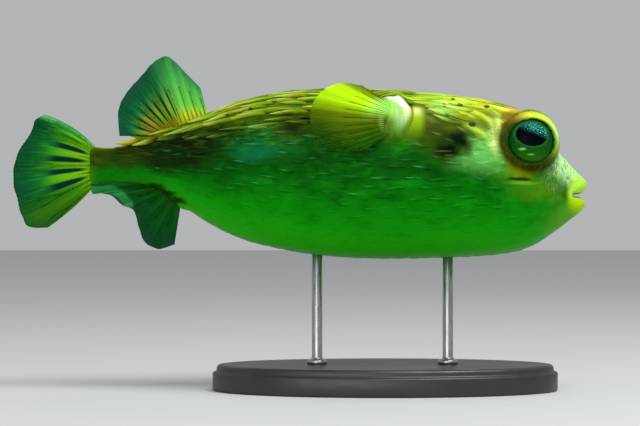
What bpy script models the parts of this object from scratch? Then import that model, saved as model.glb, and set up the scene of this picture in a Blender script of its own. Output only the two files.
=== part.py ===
"""A long-spine porcupinefish, life size, held over a flat base by two short rods.

The head points to +X, the back is up (+Z) and the right flank faces -Y. The origin is the middle
of the base's underside. Lengths in the tables are millimetres; meshes are made in metres.
"""
import math

import bpy
import bmesh
import numpy as np
from mathutils import Matrix, Vector

MM = 0.001
GAP = 0.3              # clearance between neighbouring solids
SIDES = {"right": -1, "left": 1}

# ---- body -------------------------------------------------------------------------------------
# Cross-sections from the nose back: x, top, bottom, half width, height of the widest point, and
# squareness, where 2 is an ellipse and more is boxier
BODY = np.array([
    (72.9, 82.9, 67.8, 1.2, 75.3, 3.0),
    (72.6, 83.6, 67.0, 3.6, 75.4, 3.0),
    (71.7, 84.7, 65.9, 6.0, 75.6, 2.9),
    (69.8, 86.6, 64.5, 9.0, 76.0, 2.7),
    (67.0, 90.0, 62.4, 12.8, 77.0, 2.5),
    (62.8, 95.6, 59.4, 17.8, 78.4, 2.4),
    (58.0, 100.8, 56.1, 21.8, 80.0, 2.3),
    (52.5, 105.2, 53.6, 24.4, 81.6, 2.25),
    (45.9, 109.1, 52.0, 26.4, 82.8, 2.25),
    (36.3, 111.9, 51.0, 28.2, 83.6, 2.25),
    (22.0, 113.8, 50.4, 29.2, 84.0, 2.25),
    (6.0, 114.7, 50.0, 29.2, 84.4, 2.25),
    (-9.6, 115.4, 50.2, 28.2, 84.8, 2.25),
    (-25.0, 115.2, 51.3, 26.0, 85.2, 2.25),
    (-40.0, 114.0, 53.7, 22.8, 86.0, 2.25),
    (-55.0, 110.8, 57.6, 18.4, 87.0, 2.25),
    (-69.0, 105.6, 64.4, 13.4, 87.6, 2.2),
    (-80.5, 101.4, 72.6, 8.8, 88.0, 2.2),
    (-91.8, 97.6, 78.2, 5.6, 88.0, 2.2),
    (-102.0, 94.2, 78.7, 4.0, 86.8, 2.2),
    (-112.0, 93.0, 79.0, 3.3, 86.0, 2.2),
    (-118.0, 93.0, 79.0, 2.9, 86.0, 2.2),
])
RING_POINTS = 30
SNOUT_FRONT = 72.85
HEAD_BACK = 8.7        # the head ends at the gill slits, just before the pectoral fins
TRUNK_BACK = -64.0     # the tail carries the dorsal, anal and caudal fins
TAIL_BACK = -112.0
HEAD_STEP = 2.9        # spacing of the cross-sections in the finished solids
TRUNK_STEP = 5.0
TAIL_STEP = 3.9

# ---- head -------------------------------------------------------------------------------------
ORBIT = Vector((52.8, 14.5, 94.1))
ORBIT_RADII = Vector((12.3, 12.3, 13.1))
ORBIT_BLEND = 4.0
EYE = Vector((52.9, 20.0, 94.3))
EYE_RADIUS = 9.4
EYE_DEPTH = 7.6        # half thickness along the line of sight
EYE_FORWARD = 10.0     # degrees the line of sight turns to the nose
EYE_UP = 4.0           # and to the back
EYE_FACETS = (16, 8)   # round and along a ball
NOSTRIL_X = 67.4
NOSTRIL_ANGLE = 50.0   # degrees up from the side, round the cross-section
NOSTRIL_TILT = 10.0     # how far behind it the point lies that it stands away from
NOSTRIL_RADIUS = 1.2
NOSTRIL_LENGTH = 1.9
NOSTRIL_FACETS = (6, 5)

MOUTH_LEVEL = 74.4
LIP_ARC_RADIUS = 10.0
LIP_ARC_HALF = 52.0    # degrees each side of the middle
LIPS = {               # x of the roll's middle, half thickness forwards and upwards, 1 above or -1 below
    "upper_lip": (73.6, 3.6, 3.95, 1),
    "lower_lip": (73.1, 3.3, 3.60, -1),
}
LIP_RINGS = 11
LIP_POINTS = 10

# ---- fins -------------------------------------------------------------------------------------
FIN_THICKNESS = 0.8
PLEAT = 0.45           # how far the rays stand out of the webs
PLEAT_RISE = 0.4       # the share of a ray over which its pleat grows from nothing
SLOT_REACH = 0.35      # the share of a ray that its slot clears
CAUDAL_ROOT = [(-109.8, 0, 92.0), (-109.6, 0, 85.6), (-109.8, 0, 79.6)]
CAUDAL_MARGIN = [(-130.5, 0.6, 105.6), (-134.0, 0.9, 103.4), (-136.0, 1.2, 98.4), (-139.3, 1.4, 93.5),
                 (-141.6, 1.5, 88.8), (-142.6, 1.6, 84.2), (-142.5, 1.5, 79.2), (-141.2, 1.2, 73.6),
                 (-139.6, 0.9, 67.6), (-136.6, 0.5, 62.6), (-129.4, 0.2, 62.0)]
CAUDAL_BOW = (-1.8, 0.9)   # how far its first and last rays arch
DORSAL_ROOT = [(-68.4, 0, 104.6), (-78.2, 0, 100.8), (-87.6, 0, 97.2)]
DORSAL_MARGIN = [(-70.7, -0.2, 115.8), (-75.8, -0.4, 121.0), (-80.4, -0.6, 125.8), (-84.0, -0.5, 127.9),
                 (-88.8, -0.2, 125.4), (-94.2, 0.3, 119.4), (-99.0, 0.8, 114.0), (-102.2, 1.0, 107.2),
                 (-102.4, 0.6, 98.6)]
ANAL_ROOT = [(-78.0, 0, 72.0), (-84.8, 0, 76.8), (-91.6, 0, 79.8)]
ANAL_MARGIN = [(-80.6, 0.2, 55.6), (-86.6, 0.3, 54.0), (-91.8, -0.2, 56.4), (-94.2, -1.0, 62.2),
               (-96.0, -2.4, 68.6), (-100.2, -4.0, 70.8), (-104.2, -4.8, 74.3), (-108.0, -4.6, 75.2),
               (-111.6, -4.4, 75.3), (-112.2, -4.6, 77.2)]

LOBE = Vector((3.3, 24.6, 102.4))   # fleshy base of each pectoral fin
LOBE_RADII = Vector((4.3, 4.2, 8.4))
FLAP = Vector((11.8, 24.8, 100.8))  # fleshy flap before each gill slit
FLAP_RADII = Vector((2.5, 3.4, 6.6))
FLANK_LEAN = 33.0      # degrees their tops lean in, with the flank
LOBE_FACETS = (10, 7)
PECTORAL_ROOT = [(0.6, 23.6, 108.8), (0.2, 26.9, 102.6), (0.6, 28.6, 96.4)]
PECTORAL_MARGIN = [(-9.4, 23.6, 115.2), (-16.6, 25.8, 116.0), (-22.6, 28.2, 114.0), (-27.0, 30.4, 109.6),
                   (-28.8, 31.6, 103.6), (-27.8, 32.0, 97.4), (-23.6, 31.6, 92.6), (-17.0, 30.6, 90.2),
                   (-9.2, 29.8, 90.6)]

# ---- stand ------------------------------------------------------------------------------------
BASE_LENGTH = 132.0
BASE_WIDTH = 70.0
BASE_HEIGHT = 10.0
BASE_EDGE = 1.6
ROD_RADIUS = 2.0
ROD_X = {"front": 24.0, "rear": -26.0}
ROD_IN_BASE = 5.0
ROD_IN_BODY = 6.0
ROD_POINTS = 16
BASE_POINTS = 36

COLOURS = {            # base colour, roughness, metallic
    "flank": ((0.075, 0.33, 0.045), 0.42, 0.0),
    "head": ((0.30, 0.46, 0.07), 0.42, 0.0),
    "tail": ((0.16, 0.24, 0.03), 0.42, 0.0),
    "lip": ((0.52, 0.62, 0.08), 0.38, 0.0),
    "eye": ((0.01, 0.06, 0.035), 0.08, 0.0),
    "fin": ((0.20, 0.48, 0.13), 0.45, 0.0),
    "fin_base": ((0.66, 0.74, 0.38), 0.42, 0.0),
    "base": ((0.035, 0.036, 0.038), 0.45, 0.0),
    "rod": ((0.62, 0.63, 0.64), 0.28, 1.0),
}


def new_collection(name):
    collection = bpy.data.collections.new(name)
    bpy.context.scene.collection.children.link(collection)
    return collection


def principled(name, colour):
    base, roughness, metallic = COLOURS[colour]
    material = bpy.data.materials.new(name)
    material.use_nodes = True
    shader = material.node_tree.nodes["Principled BSDF"]
    shader.inputs["Base Color"].default_value = (*base, 1.0)
    shader.inputs["Roughness"].default_value = roughness
    shader.inputs["Metallic"].default_value = metallic
    return material


def add_object(name, mesh_data, collection):
    made = bpy.data.objects.new(name, mesh_data)
    collection.objects.link(made)
    return made


def add_piece(name, bm, colour):
    """A named part of the model, from a mesh in millimetres."""
    bmesh.ops.scale(bm, vec=(MM, MM, MM), verts=bm.verts)
    data = bpy.data.meshes.new(name)
    bm.to_mesh(data)
    bm.free()
    data.materials.append(principled(name, colour))
    data.shade_smooth()
    return add_object(name, data, PARTS)


def add_cutter(name, bm):
    bmesh.ops.scale(bm, vec=(MM, MM, MM), verts=bm.verts)
    data = bpy.data.meshes.new(name)
    bm.to_mesh(data)
    bm.free()
    cutter = add_object(name, data, CUTTERS)
    cutter.hide_render = True
    cutter.display_type = 'WIRE'
    return cutter


def cut(piece, cutter):
    modifier = piece.modifiers.new(cutter.name, 'BOOLEAN')
    modifier.operation = 'DIFFERENCE'
    modifier.object = cutter


# ---- curves and lofts -------------------------------------------------------------------------
def smooth_curve(points, t):
    """The point at t (0 to 1) on a smooth curve through all the points."""
    points = np.asarray(points, float)
    last = len(points) - 1
    at = min(max(t, 0.0), 1.0) * last
    i = min(int(at), last - 1)
    f = at - i
    p1, p2 = points[i], points[i + 1]
    p0 = points[i - 1] if i > 0 else 2 * p1 - p2
    p3 = points[i + 2] if i + 2 <= last else 2 * p2 - p1
    return 0.5 * (2 * p1 + (p2 - p0) * f + (2 * p0 - 5 * p1 + 4 * p2 - p3) * f * f
                  + (3 * p1 - p0 - 3 * p2 + p3) * f ** 3)


def body_place(x):
    """Where along the body's table (0 to 1) the cross-section at x lies."""
    low, high = 0.0, 1.0
    for _ in range(40):
        middle = (low + high) / 2
        if smooth_curve(BODY, middle)[0] > x:
            low = middle
        else:
            high = middle
    return (low + high) / 2


def smooth_max(a, b, blend):
    overlap = max(blend - abs(a - b), 0.0) / blend
    return max(a, b) + overlap * overlap * blend / 4


def swell_orbits(point):
    """Pushes a point of the head out to the domes that the eyes sit in."""
    for side in SIDES.values():
        centre = Vector((ORBIT.x, side * ORBIT.y, ORBIT.z))
        offset = point - centre
        unit = Vector((offset.x / ORBIT_RADII.x, offset.y / ORBIT_RADII.y, offset.z / ORBIT_RADII.z))
        dome = offset.length / unit.length
        reach = smooth_max(offset.length, dome, ORBIT_BLEND)
        point = centre + offset * (reach / offset.length)
    return point


def body_point(place, angle):
    """A point on the body: angle 0 is the left side, 90 degrees the back."""
    x, top, bottom, half_width, level, squareness = smooth_curve(BODY, place)
    across, up = math.cos(angle), math.sin(angle)
    power = 2 / squareness
    reach = top - level if up > 0 else level - bottom
    y = half_width * math.copysign(abs(across) ** power, across)
    z = level + reach * math.copysign(abs(up) ** power, up)
    return swell_orbits(Vector((x, y, z)))


def loft(rings):
    """A closed solid through rings of points, its two ends filled flat."""
    bm = bmesh.new()
    made = [[bm.verts.new(point) for point in ring] for ring in rings]
    count = len(rings[0])
    for near, far in zip(made, made[1:]):
        for i in range(count):
            j = (i + 1) % count
            bm.faces.new((near[i], near[j], far[j], far[i]))
    bm.faces.new(made[0])
    bm.faces.new(made[-1])
    bmesh.ops.recalc_face_normals(bm, faces=bm.faces)
    return bm


def body_length(name, front, back, step, colour):
    """A length of the body between two upright cuts."""
    first, last = body_place(front), body_place(back)
    count = round((front - back) / step)
    places = [body_place(front + (back - front) * i / count) for i in range(1, count)]
    turns = [2 * math.pi * (i + 0.5) / RING_POINTS for i in range(RING_POINTS)]
    rings = [[body_point(place, angle) for angle in turns] for place in [first, *places, last]]
    for ring, x in ((rings[0], front), (rings[-1], back)):
        for point in ring:
            point.x = x
    return add_piece(name, loft(rings), colour)


def ellipsoid(centre, radii, turn, facets):
    """A ball stretched to three radii, turned, and set at its centre."""
    bm = bmesh.new()
    bmesh.ops.create_uvsphere(bm, u_segments=facets[0], v_segments=facets[1], radius=1.0)
    matrix = Matrix.Translation(centre) @ turn @ Matrix.Diagonal((*radii, 1.0))
    bmesh.ops.transform(bm, matrix=matrix, verts=bm.verts)
    return bm


def cylinder(x, bottom, top, radius, points):
    bm = bmesh.new()
    bmesh.ops.create_cone(bm, cap_ends=True, segments=points, radius1=radius, radius2=radius,
                          depth=top - bottom)
    bmesh.ops.translate(bm, vec=(x, 0, (top + bottom) / 2), verts=bm.verts)
    return bm


# ---- head pieces ------------------------------------------------------------------------------
def sight_turn(side):
    """Turns +Z to an eye's line of sight."""
    forward, up = math.radians(EYE_FORWARD), math.radians(EYE_UP)
    sight = Vector((math.sin(forward), side * math.cos(forward) * math.cos(up), math.sin(up)))
    return sight.to_track_quat('Z', 'Y').to_matrix().to_4x4()


def add_eye(side_name, side, head):
    centre = Vector((EYE.x, side * EYE.y, EYE.z))
    turn = sight_turn(side)
    radii = (EYE_RADIUS, EYE_RADIUS, EYE_DEPTH)
    socket = tuple(radius + GAP for radius in radii)
    add_piece(f"eye_{side_name}", ellipsoid(centre, radii, turn, EYE_FACETS), "eye")
    cut(head, add_cutter(f"socket_{side_name}", ellipsoid(centre, socket, turn, EYE_FACETS)))


def add_nostril(side_name, side, head):
    """A short papilla between the eye and the lip."""
    up = math.radians(NOSTRIL_ANGLE)
    angle = up if side > 0 else math.pi - up
    place = body_place(NOSTRIL_X)
    centre = body_point(place, angle)
    outward = (centre - Vector((NOSTRIL_X - NOSTRIL_TILT, 0, MOUTH_LEVEL))).normalized()
    turn = outward.to_track_quat('Z', 'Y').to_matrix().to_4x4()
    radii = (NOSTRIL_RADIUS, NOSTRIL_RADIUS, NOSTRIL_LENGTH)
    seat = tuple(radius + GAP for radius in radii)
    add_piece(f"nostril_{side_name}", ellipsoid(centre, radii, turn, NOSTRIL_FACETS), "lip")
    cut(head, add_cutter(f"nostril_seat_{side_name}", ellipsoid(centre, seat, turn, NOSTRIL_FACETS)))


def lip_roll(name, growth):
    """A fleshy roll bent round the front of the mouth, thinning to its corners."""
    middle_x, forwards, upwards, side = LIPS[name]
    rings = []
    for i in range(LIP_RINGS):
        along = -math.cos(math.pi * i / (LIP_RINGS - 1))
        thin = math.sqrt(max(1 - abs(along) ** 2.6, 0.0)) * 0.75 + 0.25
        bend = math.radians(LIP_ARC_HALF + growth * 2) * along
        out = Vector((math.cos(bend), math.sin(bend), 0))
        height = upwards * thin
        level = MOUTH_LEVEL + side * (GAP / 2 + height)
        centre = Vector((middle_x - LIP_ARC_RADIUS, 0, level)) + out * LIP_ARC_RADIUS
        ring = []
        for j in range(LIP_POINTS):
            turn = 2 * math.pi * (j + 0.5) / LIP_POINTS
            ring.append(centre + out * (forwards * thin + growth) * math.cos(turn)
                        + Vector((0, 0, (height + growth) * math.sin(turn))))
        rings.append(ring)
    return loft(rings)


def add_lips(head):
    for name in LIPS:
        add_piece(name, lip_roll(name, 0.0), "lip")
        cut(head, add_cutter(f"{name}_seat", lip_roll(name, GAP)))


# ---- fins -------------------------------------------------------------------------------------
def fin_sheet(root, margin, columns, rows, reach, pleat, bow):
    """An open sheet from a fin's root to its margin; every second column is a ray."""
    bm = bmesh.new()
    start, end = reach
    grid = []
    for i in range(columns + 1):
        u = i / columns
        foot, tip = Vector(smooth_curve(root, u)), Vector(smooth_curve(margin, u))
        ray = tip - foot
        across = Vector((-ray.z, 0, ray.x)).normalized()
        column = []
        for j in range(rows + 1):
            v = start + (end - start) * j / rows
            point = foot + ray * v
            arch = 4 * v * (1 - v) if v > 0 else 0.0
            point += across * (bow[0] + (bow[1] - bow[0]) * u) * arch
            lift = min(max(v / PLEAT_RISE, 0.0), 1.0)
            point.y += pleat * lift * (1 if i % 2 else -1)
            column.append(bm.verts.new(point))
        grid.append(column)
    for left, right in zip(grid, grid[1:]):
        for j in range(rows):
            bm.faces.new((left[j], right[j], right[j + 1], left[j + 1]))
    return bm


def thicken(piece, thickness):
    modifier = piece.modifiers.new("Thickness", 'SOLIDIFY')
    modifier.thickness = thickness * MM
    modifier.offset = 0.0


def add_fin(name, root, margin, columns, rows, seat_in, bow=(0.0, 0.0)):
    """A pleated fin whose foot stands in a slot of the piece that carries it."""
    fin = add_piece(name, fin_sheet(root, margin, columns, rows, (0.0, 1.0), PLEAT, bow), "fin")
    thicken(fin, FIN_THICKNESS)
    slot = add_cutter(f"{name}_slot",
                      fin_sheet(slot_root(root, margin), margin, columns, 1, (0.0, SLOT_REACH), 0.0, bow))
    thicken(slot, FIN_THICKNESS + 2 * (PLEAT + GAP))
    cut(seat_in, slot)
    return fin


def slot_root(root, margin):
    """The root carried a little deeper and past both its ends, to clear the fin's foot."""
    feet = [Vector(point) for point in root]
    tips = [Vector(smooth_curve(margin, t)) for t in (0.0, 0.5, 1.0)]
    deeper = [foot - (tip - foot).normalized() * 2 * GAP for foot, tip in zip(feet, tips)]
    deeper[0] += (feet[0] - feet[1]).normalized() * 2 * GAP
    deeper[2] += (feet[2] - feet[1]).normalized() * 2 * GAP
    return deeper


def mirrored(points, side):
    return [(x, side * y, z) for x, y, z in points]


def add_lobe(name, centre, radii, side, seat_in):
    """A fleshy swelling of the flank, half sunk in the piece that carries it."""
    centre = Vector((centre.x, side * centre.y, centre.z))
    turn = Matrix.Rotation(math.radians(side * FLANK_LEAN), 4, 'X')
    grown = tuple(radius + GAP for radius in radii)
    cut(seat_in, add_cutter(f"{name}_seat", ellipsoid(centre, grown, turn, LOBE_FACETS)))
    return add_piece(name, ellipsoid(centre, radii, turn, LOBE_FACETS), "fin_base")


def add_pectoral(side_name, side, head, trunk):
    """The gill flap, and behind the slit the fin on its fleshy base."""
    add_lobe(f"gill_flap_{side_name}", FLAP, FLAP_RADII, side, head)
    lobe = add_lobe(f"pectoral_base_{side_name}", LOBE, LOBE_RADII, side, trunk)
    add_fin(f"pectoral_fin_{side_name}", mirrored(PECTORAL_ROOT, side), mirrored(PECTORAL_MARGIN, side),
            18, 4, lobe)


# ---- stand ------------------------------------------------------------------------------------
def add_base():
    bm = cylinder(0, 0, BASE_HEIGHT, 1.0, BASE_POINTS)
    bmesh.ops.scale(bm, vec=(BASE_LENGTH / 2, BASE_WIDTH / 2, 1), verts=bm.verts)
    base = add_piece("stand_base", bm, "base")
    edge = base.modifiers.new("Edge", 'BEVEL')
    edge.width = BASE_EDGE * MM
    return base


def add_rod(end, base, trunk):
    x = ROD_X[end]
    belly = body_point(body_place(x), -math.pi / 2).z
    foot, top = BASE_HEIGHT - ROD_IN_BASE, belly + ROD_IN_BODY
    add_piece(f"stand_rod_{end}", cylinder(x, foot, top, ROD_RADIUS, ROD_POINTS), "rod")
    bore = ROD_RADIUS + GAP
    cut(base, add_cutter(f"base_hole_{end}", cylinder(x, foot - GAP, BASE_HEIGHT + GAP, bore, ROD_POINTS)))
    cut(trunk, add_cutter(f"belly_hole_{end}", cylinder(x, belly - ROD_IN_BODY, top + GAP, bore, ROD_POINTS)))


# ---- the model --------------------------------------------------------------------------------
for old in list(bpy.data.objects):
    bpy.data.objects.remove(old)

PARTS = new_collection("Porcupinefish")
CUTTERS = new_collection("Cutters")

head = body_length("head", SNOUT_FRONT, HEAD_BACK, HEAD_STEP, "head")
trunk = body_length("trunk", HEAD_BACK - GAP, TRUNK_BACK, TRUNK_STEP, "flank")
tail_stalk = body_length("tail_stalk", TRUNK_BACK - GAP, TAIL_BACK, TAIL_STEP, "tail")

for side_name, side in SIDES.items():
    add_eye(side_name, side, head)
    add_nostril(side_name, side, head)
    add_pectoral(side_name, side, head, trunk)
add_lips(head)

add_fin("caudal_fin", CAUDAL_ROOT, CAUDAL_MARGIN, 18, 5, tail_stalk, CAUDAL_BOW)
add_fin("dorsal_fin", DORSAL_ROOT, DORSAL_MARGIN, 26, 4, tail_stalk)
add_fin("anal_fin", ANAL_ROOT, ANAL_MARGIN, 20, 4, tail_stalk)

stand_base = add_base()
add_rod("front", stand_base, head)
add_rod("rear", stand_base, trunk)
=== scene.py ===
"""A long-spine porcupinefish, life size, on a display stand.

One skin covers the head, trunk, tail stalk and lips. The spines lie back over it, the fins are webs on
branching rays, and the eyes sit behind lids. The head points to +X, the back is up and the right flank
faces -Y. Tables are in millimetres, meshes in metres, and colours in sRGB from 0 to 255.
"""
import math

import bpy
import numpy as np
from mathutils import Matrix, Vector


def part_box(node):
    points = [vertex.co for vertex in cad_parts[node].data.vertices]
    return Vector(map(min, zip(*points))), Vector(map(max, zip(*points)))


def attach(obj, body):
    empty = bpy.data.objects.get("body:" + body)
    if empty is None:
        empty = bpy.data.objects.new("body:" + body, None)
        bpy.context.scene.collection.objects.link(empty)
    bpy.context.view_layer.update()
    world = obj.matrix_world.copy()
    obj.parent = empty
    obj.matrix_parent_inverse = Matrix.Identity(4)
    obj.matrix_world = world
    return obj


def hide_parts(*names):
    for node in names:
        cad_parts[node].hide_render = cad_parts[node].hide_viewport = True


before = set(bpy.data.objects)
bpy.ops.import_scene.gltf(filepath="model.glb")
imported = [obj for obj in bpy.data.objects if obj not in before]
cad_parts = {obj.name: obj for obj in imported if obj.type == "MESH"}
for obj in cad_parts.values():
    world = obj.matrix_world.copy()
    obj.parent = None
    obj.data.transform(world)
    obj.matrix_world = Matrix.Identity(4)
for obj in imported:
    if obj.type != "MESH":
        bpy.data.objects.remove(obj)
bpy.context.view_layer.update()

MM = 0.001
SIDES = {"right": -1, "left": 1}


def node_box(name):
    """A solid's lowest and highest corners in millimetres."""
    low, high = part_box(name)
    return np.array(low) / MM, np.array(high) / MM


def node_middle(name):
    low, high = node_box(name)
    return (low + high) / 2


# ---- node trees --------------------------------------------------------------------------------
def linear(colour):
    """An sRGB colour, 0 to 255, as the light it stands for, with full cover."""
    return (*(c / 255 / 12.92 if c <= 10 else ((c / 255 + 0.055) / 1.055) ** 2.4 for c in colour), 1.0)


class Value:
    """A number or vector in a node tree. Arithmetic on it adds the nodes that work it out."""

    def __init__(self, tree, socket):
        self.tree, self.socket = tree, socket

    def maths(self, operation, *others):
        values = (self, *others)
        vectors = any(isinstance(v, Value) and v.socket.type in ('VECTOR', 'RGBA') for v in values)
        kind = "ShaderNodeVectorMath" if vectors else "ShaderNodeMath"
        return self.tree.add(kind, {"operation": operation}, dict(enumerate(values)))

    def __add__(self, other):
        return self.maths('ADD', other)

    __radd__ = __add__

    def __mul__(self, other):
        return self.maths('MULTIPLY', other)

    __rmul__ = __mul__

    def __sub__(self, other):
        return self.maths('SUBTRACT', other)

    def __rsub__(self, other):
        return self * -1 + other

    def __truediv__(self, other):
        return self.maths('DIVIDE', other)

    def __abs__(self):
        return self.maths('ABSOLUTE')


class Tree:
    """A material's or a modifier's node tree."""

    def __init__(self, tree):
        self.tree = tree

    def put(self, socket, value):
        """Links a value to a socket, or sets the socket to a number, a vector or a colour."""
        if isinstance(value, Value):
            self.tree.links.new(value.socket, socket)
        elif socket.type == 'VECTOR' and isinstance(value, (int, float)):
            socket.default_value = (value,) * 3
        elif socket.type == 'RGBA' and len(value) == 3:
            socket.default_value = linear(value)
        else:
            socket.default_value = value

    def add(self, kind, settings=None, sockets=None, out=0):
        node = self.tree.nodes.new(kind)
        for name, setting in (settings or {}).items():
            setattr(node, name, setting)
        for name, value in (sockets or {}).items():
            self.put(node.inputs[name], value)
        return Value(self, node.outputs[out])

    def mix(self, factor, first, second):
        return self.add("ShaderNodeMix", {"data_type": 'RGBA'}, {0: factor, 6: first, 7: second}, 2)

    def coats(self, colour, *coats):
        """Colours laid one over another, each by its share."""
        for share, coat in coats:
            colour = self.mix(share, colour, coat)
        return colour

    def step(self, value, low, high, start=0.0, end=1.0):
        """A soft step from start, at the low place, to end, at the high one."""
        return self.add("ShaderNodeMapRange", {"interpolation_type": 'SMOOTHSTEP'},
                        {0: value, 1: low, 2: high, 3: start, 4: end})

    def within(self, value, low, full, last_full, high):
        """1 between the two middle places, and softly down to 0 at the outer two."""
        return self.step(value, low, full) * self.step(value, high, last_full)

    def noise(self, place, size, detail=2.0, out="Fac"):
        """Soft random pattern, its grain this many units of the place across."""
        sockets = {"Vector": place, "Scale": 1 / size, "Detail": detail}
        return self.add("ShaderNodeTexNoise", None, sockets, out)

    def read(self, name, out="Fac"):
        return self.add("ShaderNodeAttribute", {"attribute_name": name}, None, out)

    def place(self):
        """Where on the object, in millimetres."""
        return self.add("ShaderNodeTexCoord", None, None, "Object") * (1 / MM)

    def parts(self, vector):
        return [self.add("ShaderNodeSeparateXYZ", None, {0: vector}, i) for i in range(3)]

    def vector(self, x, y, z):
        return self.add("ShaderNodeCombineXYZ", None, {0: x, 1: y, 2: z})

    def length(self, vector):
        return self.add("ShaderNodeVectorMath", {"operation": 'LENGTH'}, {0: vector}, "Value")

    def ramp(self, value, stops):
        """Colours along a value, blended between their places."""
        colour = stops[0][1]
        for (low, _), (high, stop) in zip(stops, stops[1:]):
            factor = self.add("ShaderNodeMapRange", None, {0: value, 1: low, 2: high})
            colour = self.mix(factor, colour, stop)
        return colour

    def bump(self, height, depth):
        """Fine relief of this depth in millimetres."""
        sockets = {"Height": height, "Strength": 1.0, "Distance": depth * MM}
        return self.add("ShaderNodeBump", None, sockets, "Normal")


def new_material(name):
    material = bpy.data.materials.new(name)
    material.use_nodes = True
    return material, Tree(material.node_tree)


def finish_with(material, tree, sockets):
    """Gives a material's shader its colour, roughness, relief and the rest."""
    shader = material.node_tree.nodes["Principled BSDF"]
    for name, value in sockets.items():
        tree.put(shader.inputs[name], value)
    return material


# ---- the fish's form ---------------------------------------------------------------------------
# Cross-sections from inside the mouth, over the lips and back to the tail: x, how far the top leads
# the bottom, top, bottom, half width, height of the widest point, squareness, how far the sides lie back
FORM = np.array([
    (66.0, 0.0, 74.7, 74.2, 3.0, 74.45, 2.0, 1.0),
    (69.6, 0.0, 74.8, 74.1, 5.2, 74.45, 2.0, 3.0),
    (72.6, 0.1, 74.9, 74.1, 6.4, 74.5, 2.0, 4.4),
    (74.6, 0.1, 75.3, 73.8, 7.0, 74.55, 2.0, 5.4),
    (76.1, 0.25, 76.4, 72.6, 7.6, 74.6, 2.0, 6.0),
    (76.75, 0.4, 78.0, 71.2, 8.2, 74.7, 2.0, 6.2),
    (76.3, 0.5, 79.7, 69.7, 8.9, 74.8, 2.1, 6.1),
    (75.0, 0.4, 81.5, 68.2, 9.5, 75.0, 2.2, 5.6),
    (73.0, 0.3, 83.4, 66.7, 10.2, 75.3, 2.35, 4.4),
    (70.4, 0.2, 86.2, 64.9, 11.6, 76.0, 2.45, 3.0),
    (67.0, 0.0, 89.9, 62.4, 14.0, 77.0, 2.45, 1.6),
    (62.8, 0.0, 96.2, 59.4, 18.1, 78.4, 2.4, 0.6),
    (58.0, 0.0, 102.4, 56.1, 21.8, 80.0, 2.3, 0.0),
    (52.5, 0.0, 107.0, 53.6, 24.4, 81.6, 2.25, 0.0),
    (45.9, 0.0, 109.7, 52.0, 26.4, 82.8, 2.25, 0.0),
    (36.3, 0.0, 111.9, 51.0, 28.2, 83.6, 2.25, 0.0),
    (22.0, 0.0, 113.8, 50.4, 29.2, 84.0, 2.25, 0.0),
    (6.0, 0.0, 114.7, 50.0, 29.2, 84.4, 2.25, 0.0),
    (-9.6, 0.0, 115.4, 50.2, 28.2, 84.8, 2.25, 0.0),
    (-25.0, 0.0, 115.2, 51.3, 26.0, 85.2, 2.25, 0.0),
    (-40.0, 0.0, 114.0, 53.7, 22.8, 86.0, 2.25, 0.0),
    (-55.0, 0.0, 110.8, 57.6, 18.4, 87.0, 2.25, 0.0),
    (-69.0, 0.0, 105.6, 64.4, 13.4, 87.6, 2.2, 0.0),
    (-80.5, 0.0, 101.4, 72.6, 8.8, 88.0, 2.2, 0.0),
    (-91.8, 0.0, 97.6, 78.2, 5.6, 88.0, 2.2, 0.0),
    (-102.0, 0.0, 94.2, 78.7, 4.0, 86.8, 2.2, 0.0),
    (-107.6, 0.0, 93.4, 78.7, 3.5, 86.0, 2.2, 0.0),
    (-110.4, 0.0, 93.2, 78.9, 2.6, 86.0, 2.2, 0.0),
    (-112.0, 0.0, 92.6, 79.5, 1.5, 86.0, 2.2, 0.0),
    (-112.9, 0.0, 91.6, 80.5, 0.4, 86.0, 2.2, 0.0),
])
# Rows of the form and how many rings the skin has from each to the next
RING_PLAN = [(0, 3, 4), (3, 9, 8), (9, 11, 8), (11, 12, 10), (12, 13, 12), (13, 15, 17), (15, 16, 20),
             (16, 17, 38), (17, 18, 24), (18, 23, 14), (23, 26, 12), (26, 29, 5)]
SKIN_COLUMNS = 264

ORBIT = np.array((52.8, 14.5, 94.1))
ORBIT_RADII = np.array((12.3, 12.3, 13.1))
ORBIT_BLEND = 4.0
EYE_FORWARD, EYE_UP = 10.0, 4.0    # degrees the line of sight turns to the nose and the back
EYE_RADIUS, EYE_DEPTH = 9.4, 7.6
EYE_OPENING = np.array((8.75, 8.0))
NOSTRIL_RADIUS, NOSTRIL_RISE, NOSTRIL_PIT = 2.1, 0.9, 0.8
RIDGE_HEIGHT = 0.8
LID_ROLL, LID_FURROW = 0.8, 0.3    # how far the lid stands out, and how deep the furrow round it is
ROLL_PLACE, FURROW_PLACE = (1.16, 0.15), (1.66, 0.12)   # where each is, in openings, and how wide
CUP_GAP = 0.2                      # between the eyeball and the skin behind it
LID_EDGE = 0.035                   # how near its edge, as a share of the opening, skin is brought onto it
LID_REACH = 3.0                    # how many openings out the lids' own colours may reach
COAT_DEPTH = 0.9                   # the spines' height over the back
COAT_FRONT, COAT_REAR = (64.0, 44.0), (-113.0, -104.0)   # x over which the coat grows to that
ANAL_EDGE_X, ANAL_EDGE_DROP = -78.6, 1.9                 # the fleshy edge before the anal fin


def smooth_rows(table, t):
    """Points of smooth curves through a table's rows, at rows t."""
    t = np.clip(np.asarray(t, float), 0, len(table) - 1)
    padded = np.vstack([2 * table[0] - table[1], table, 2 * table[-1] - table[-2]])
    i = np.minimum(t.astype(int), len(table) - 2)
    f = (t - i)[..., None]
    p0, p1, p2, p3 = (padded[i + k] for k in range(4))
    return 0.5 * (2 * p1 + (p2 - p0) * f + (2 * p0 - 5 * p1 + 4 * p2 - p3) * f ** 2
                  + (3 * p1 - p0 - 3 * p2 + p3) * f ** 3)


def smooth_step(low, high, value):
    """0 up to the low place, 1 from the high one, and a soft step between; the low one may be the higher."""
    t = np.clip((value - low) / (high - low), 0, 1)
    return t * t * (3 - 2 * t)


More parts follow.
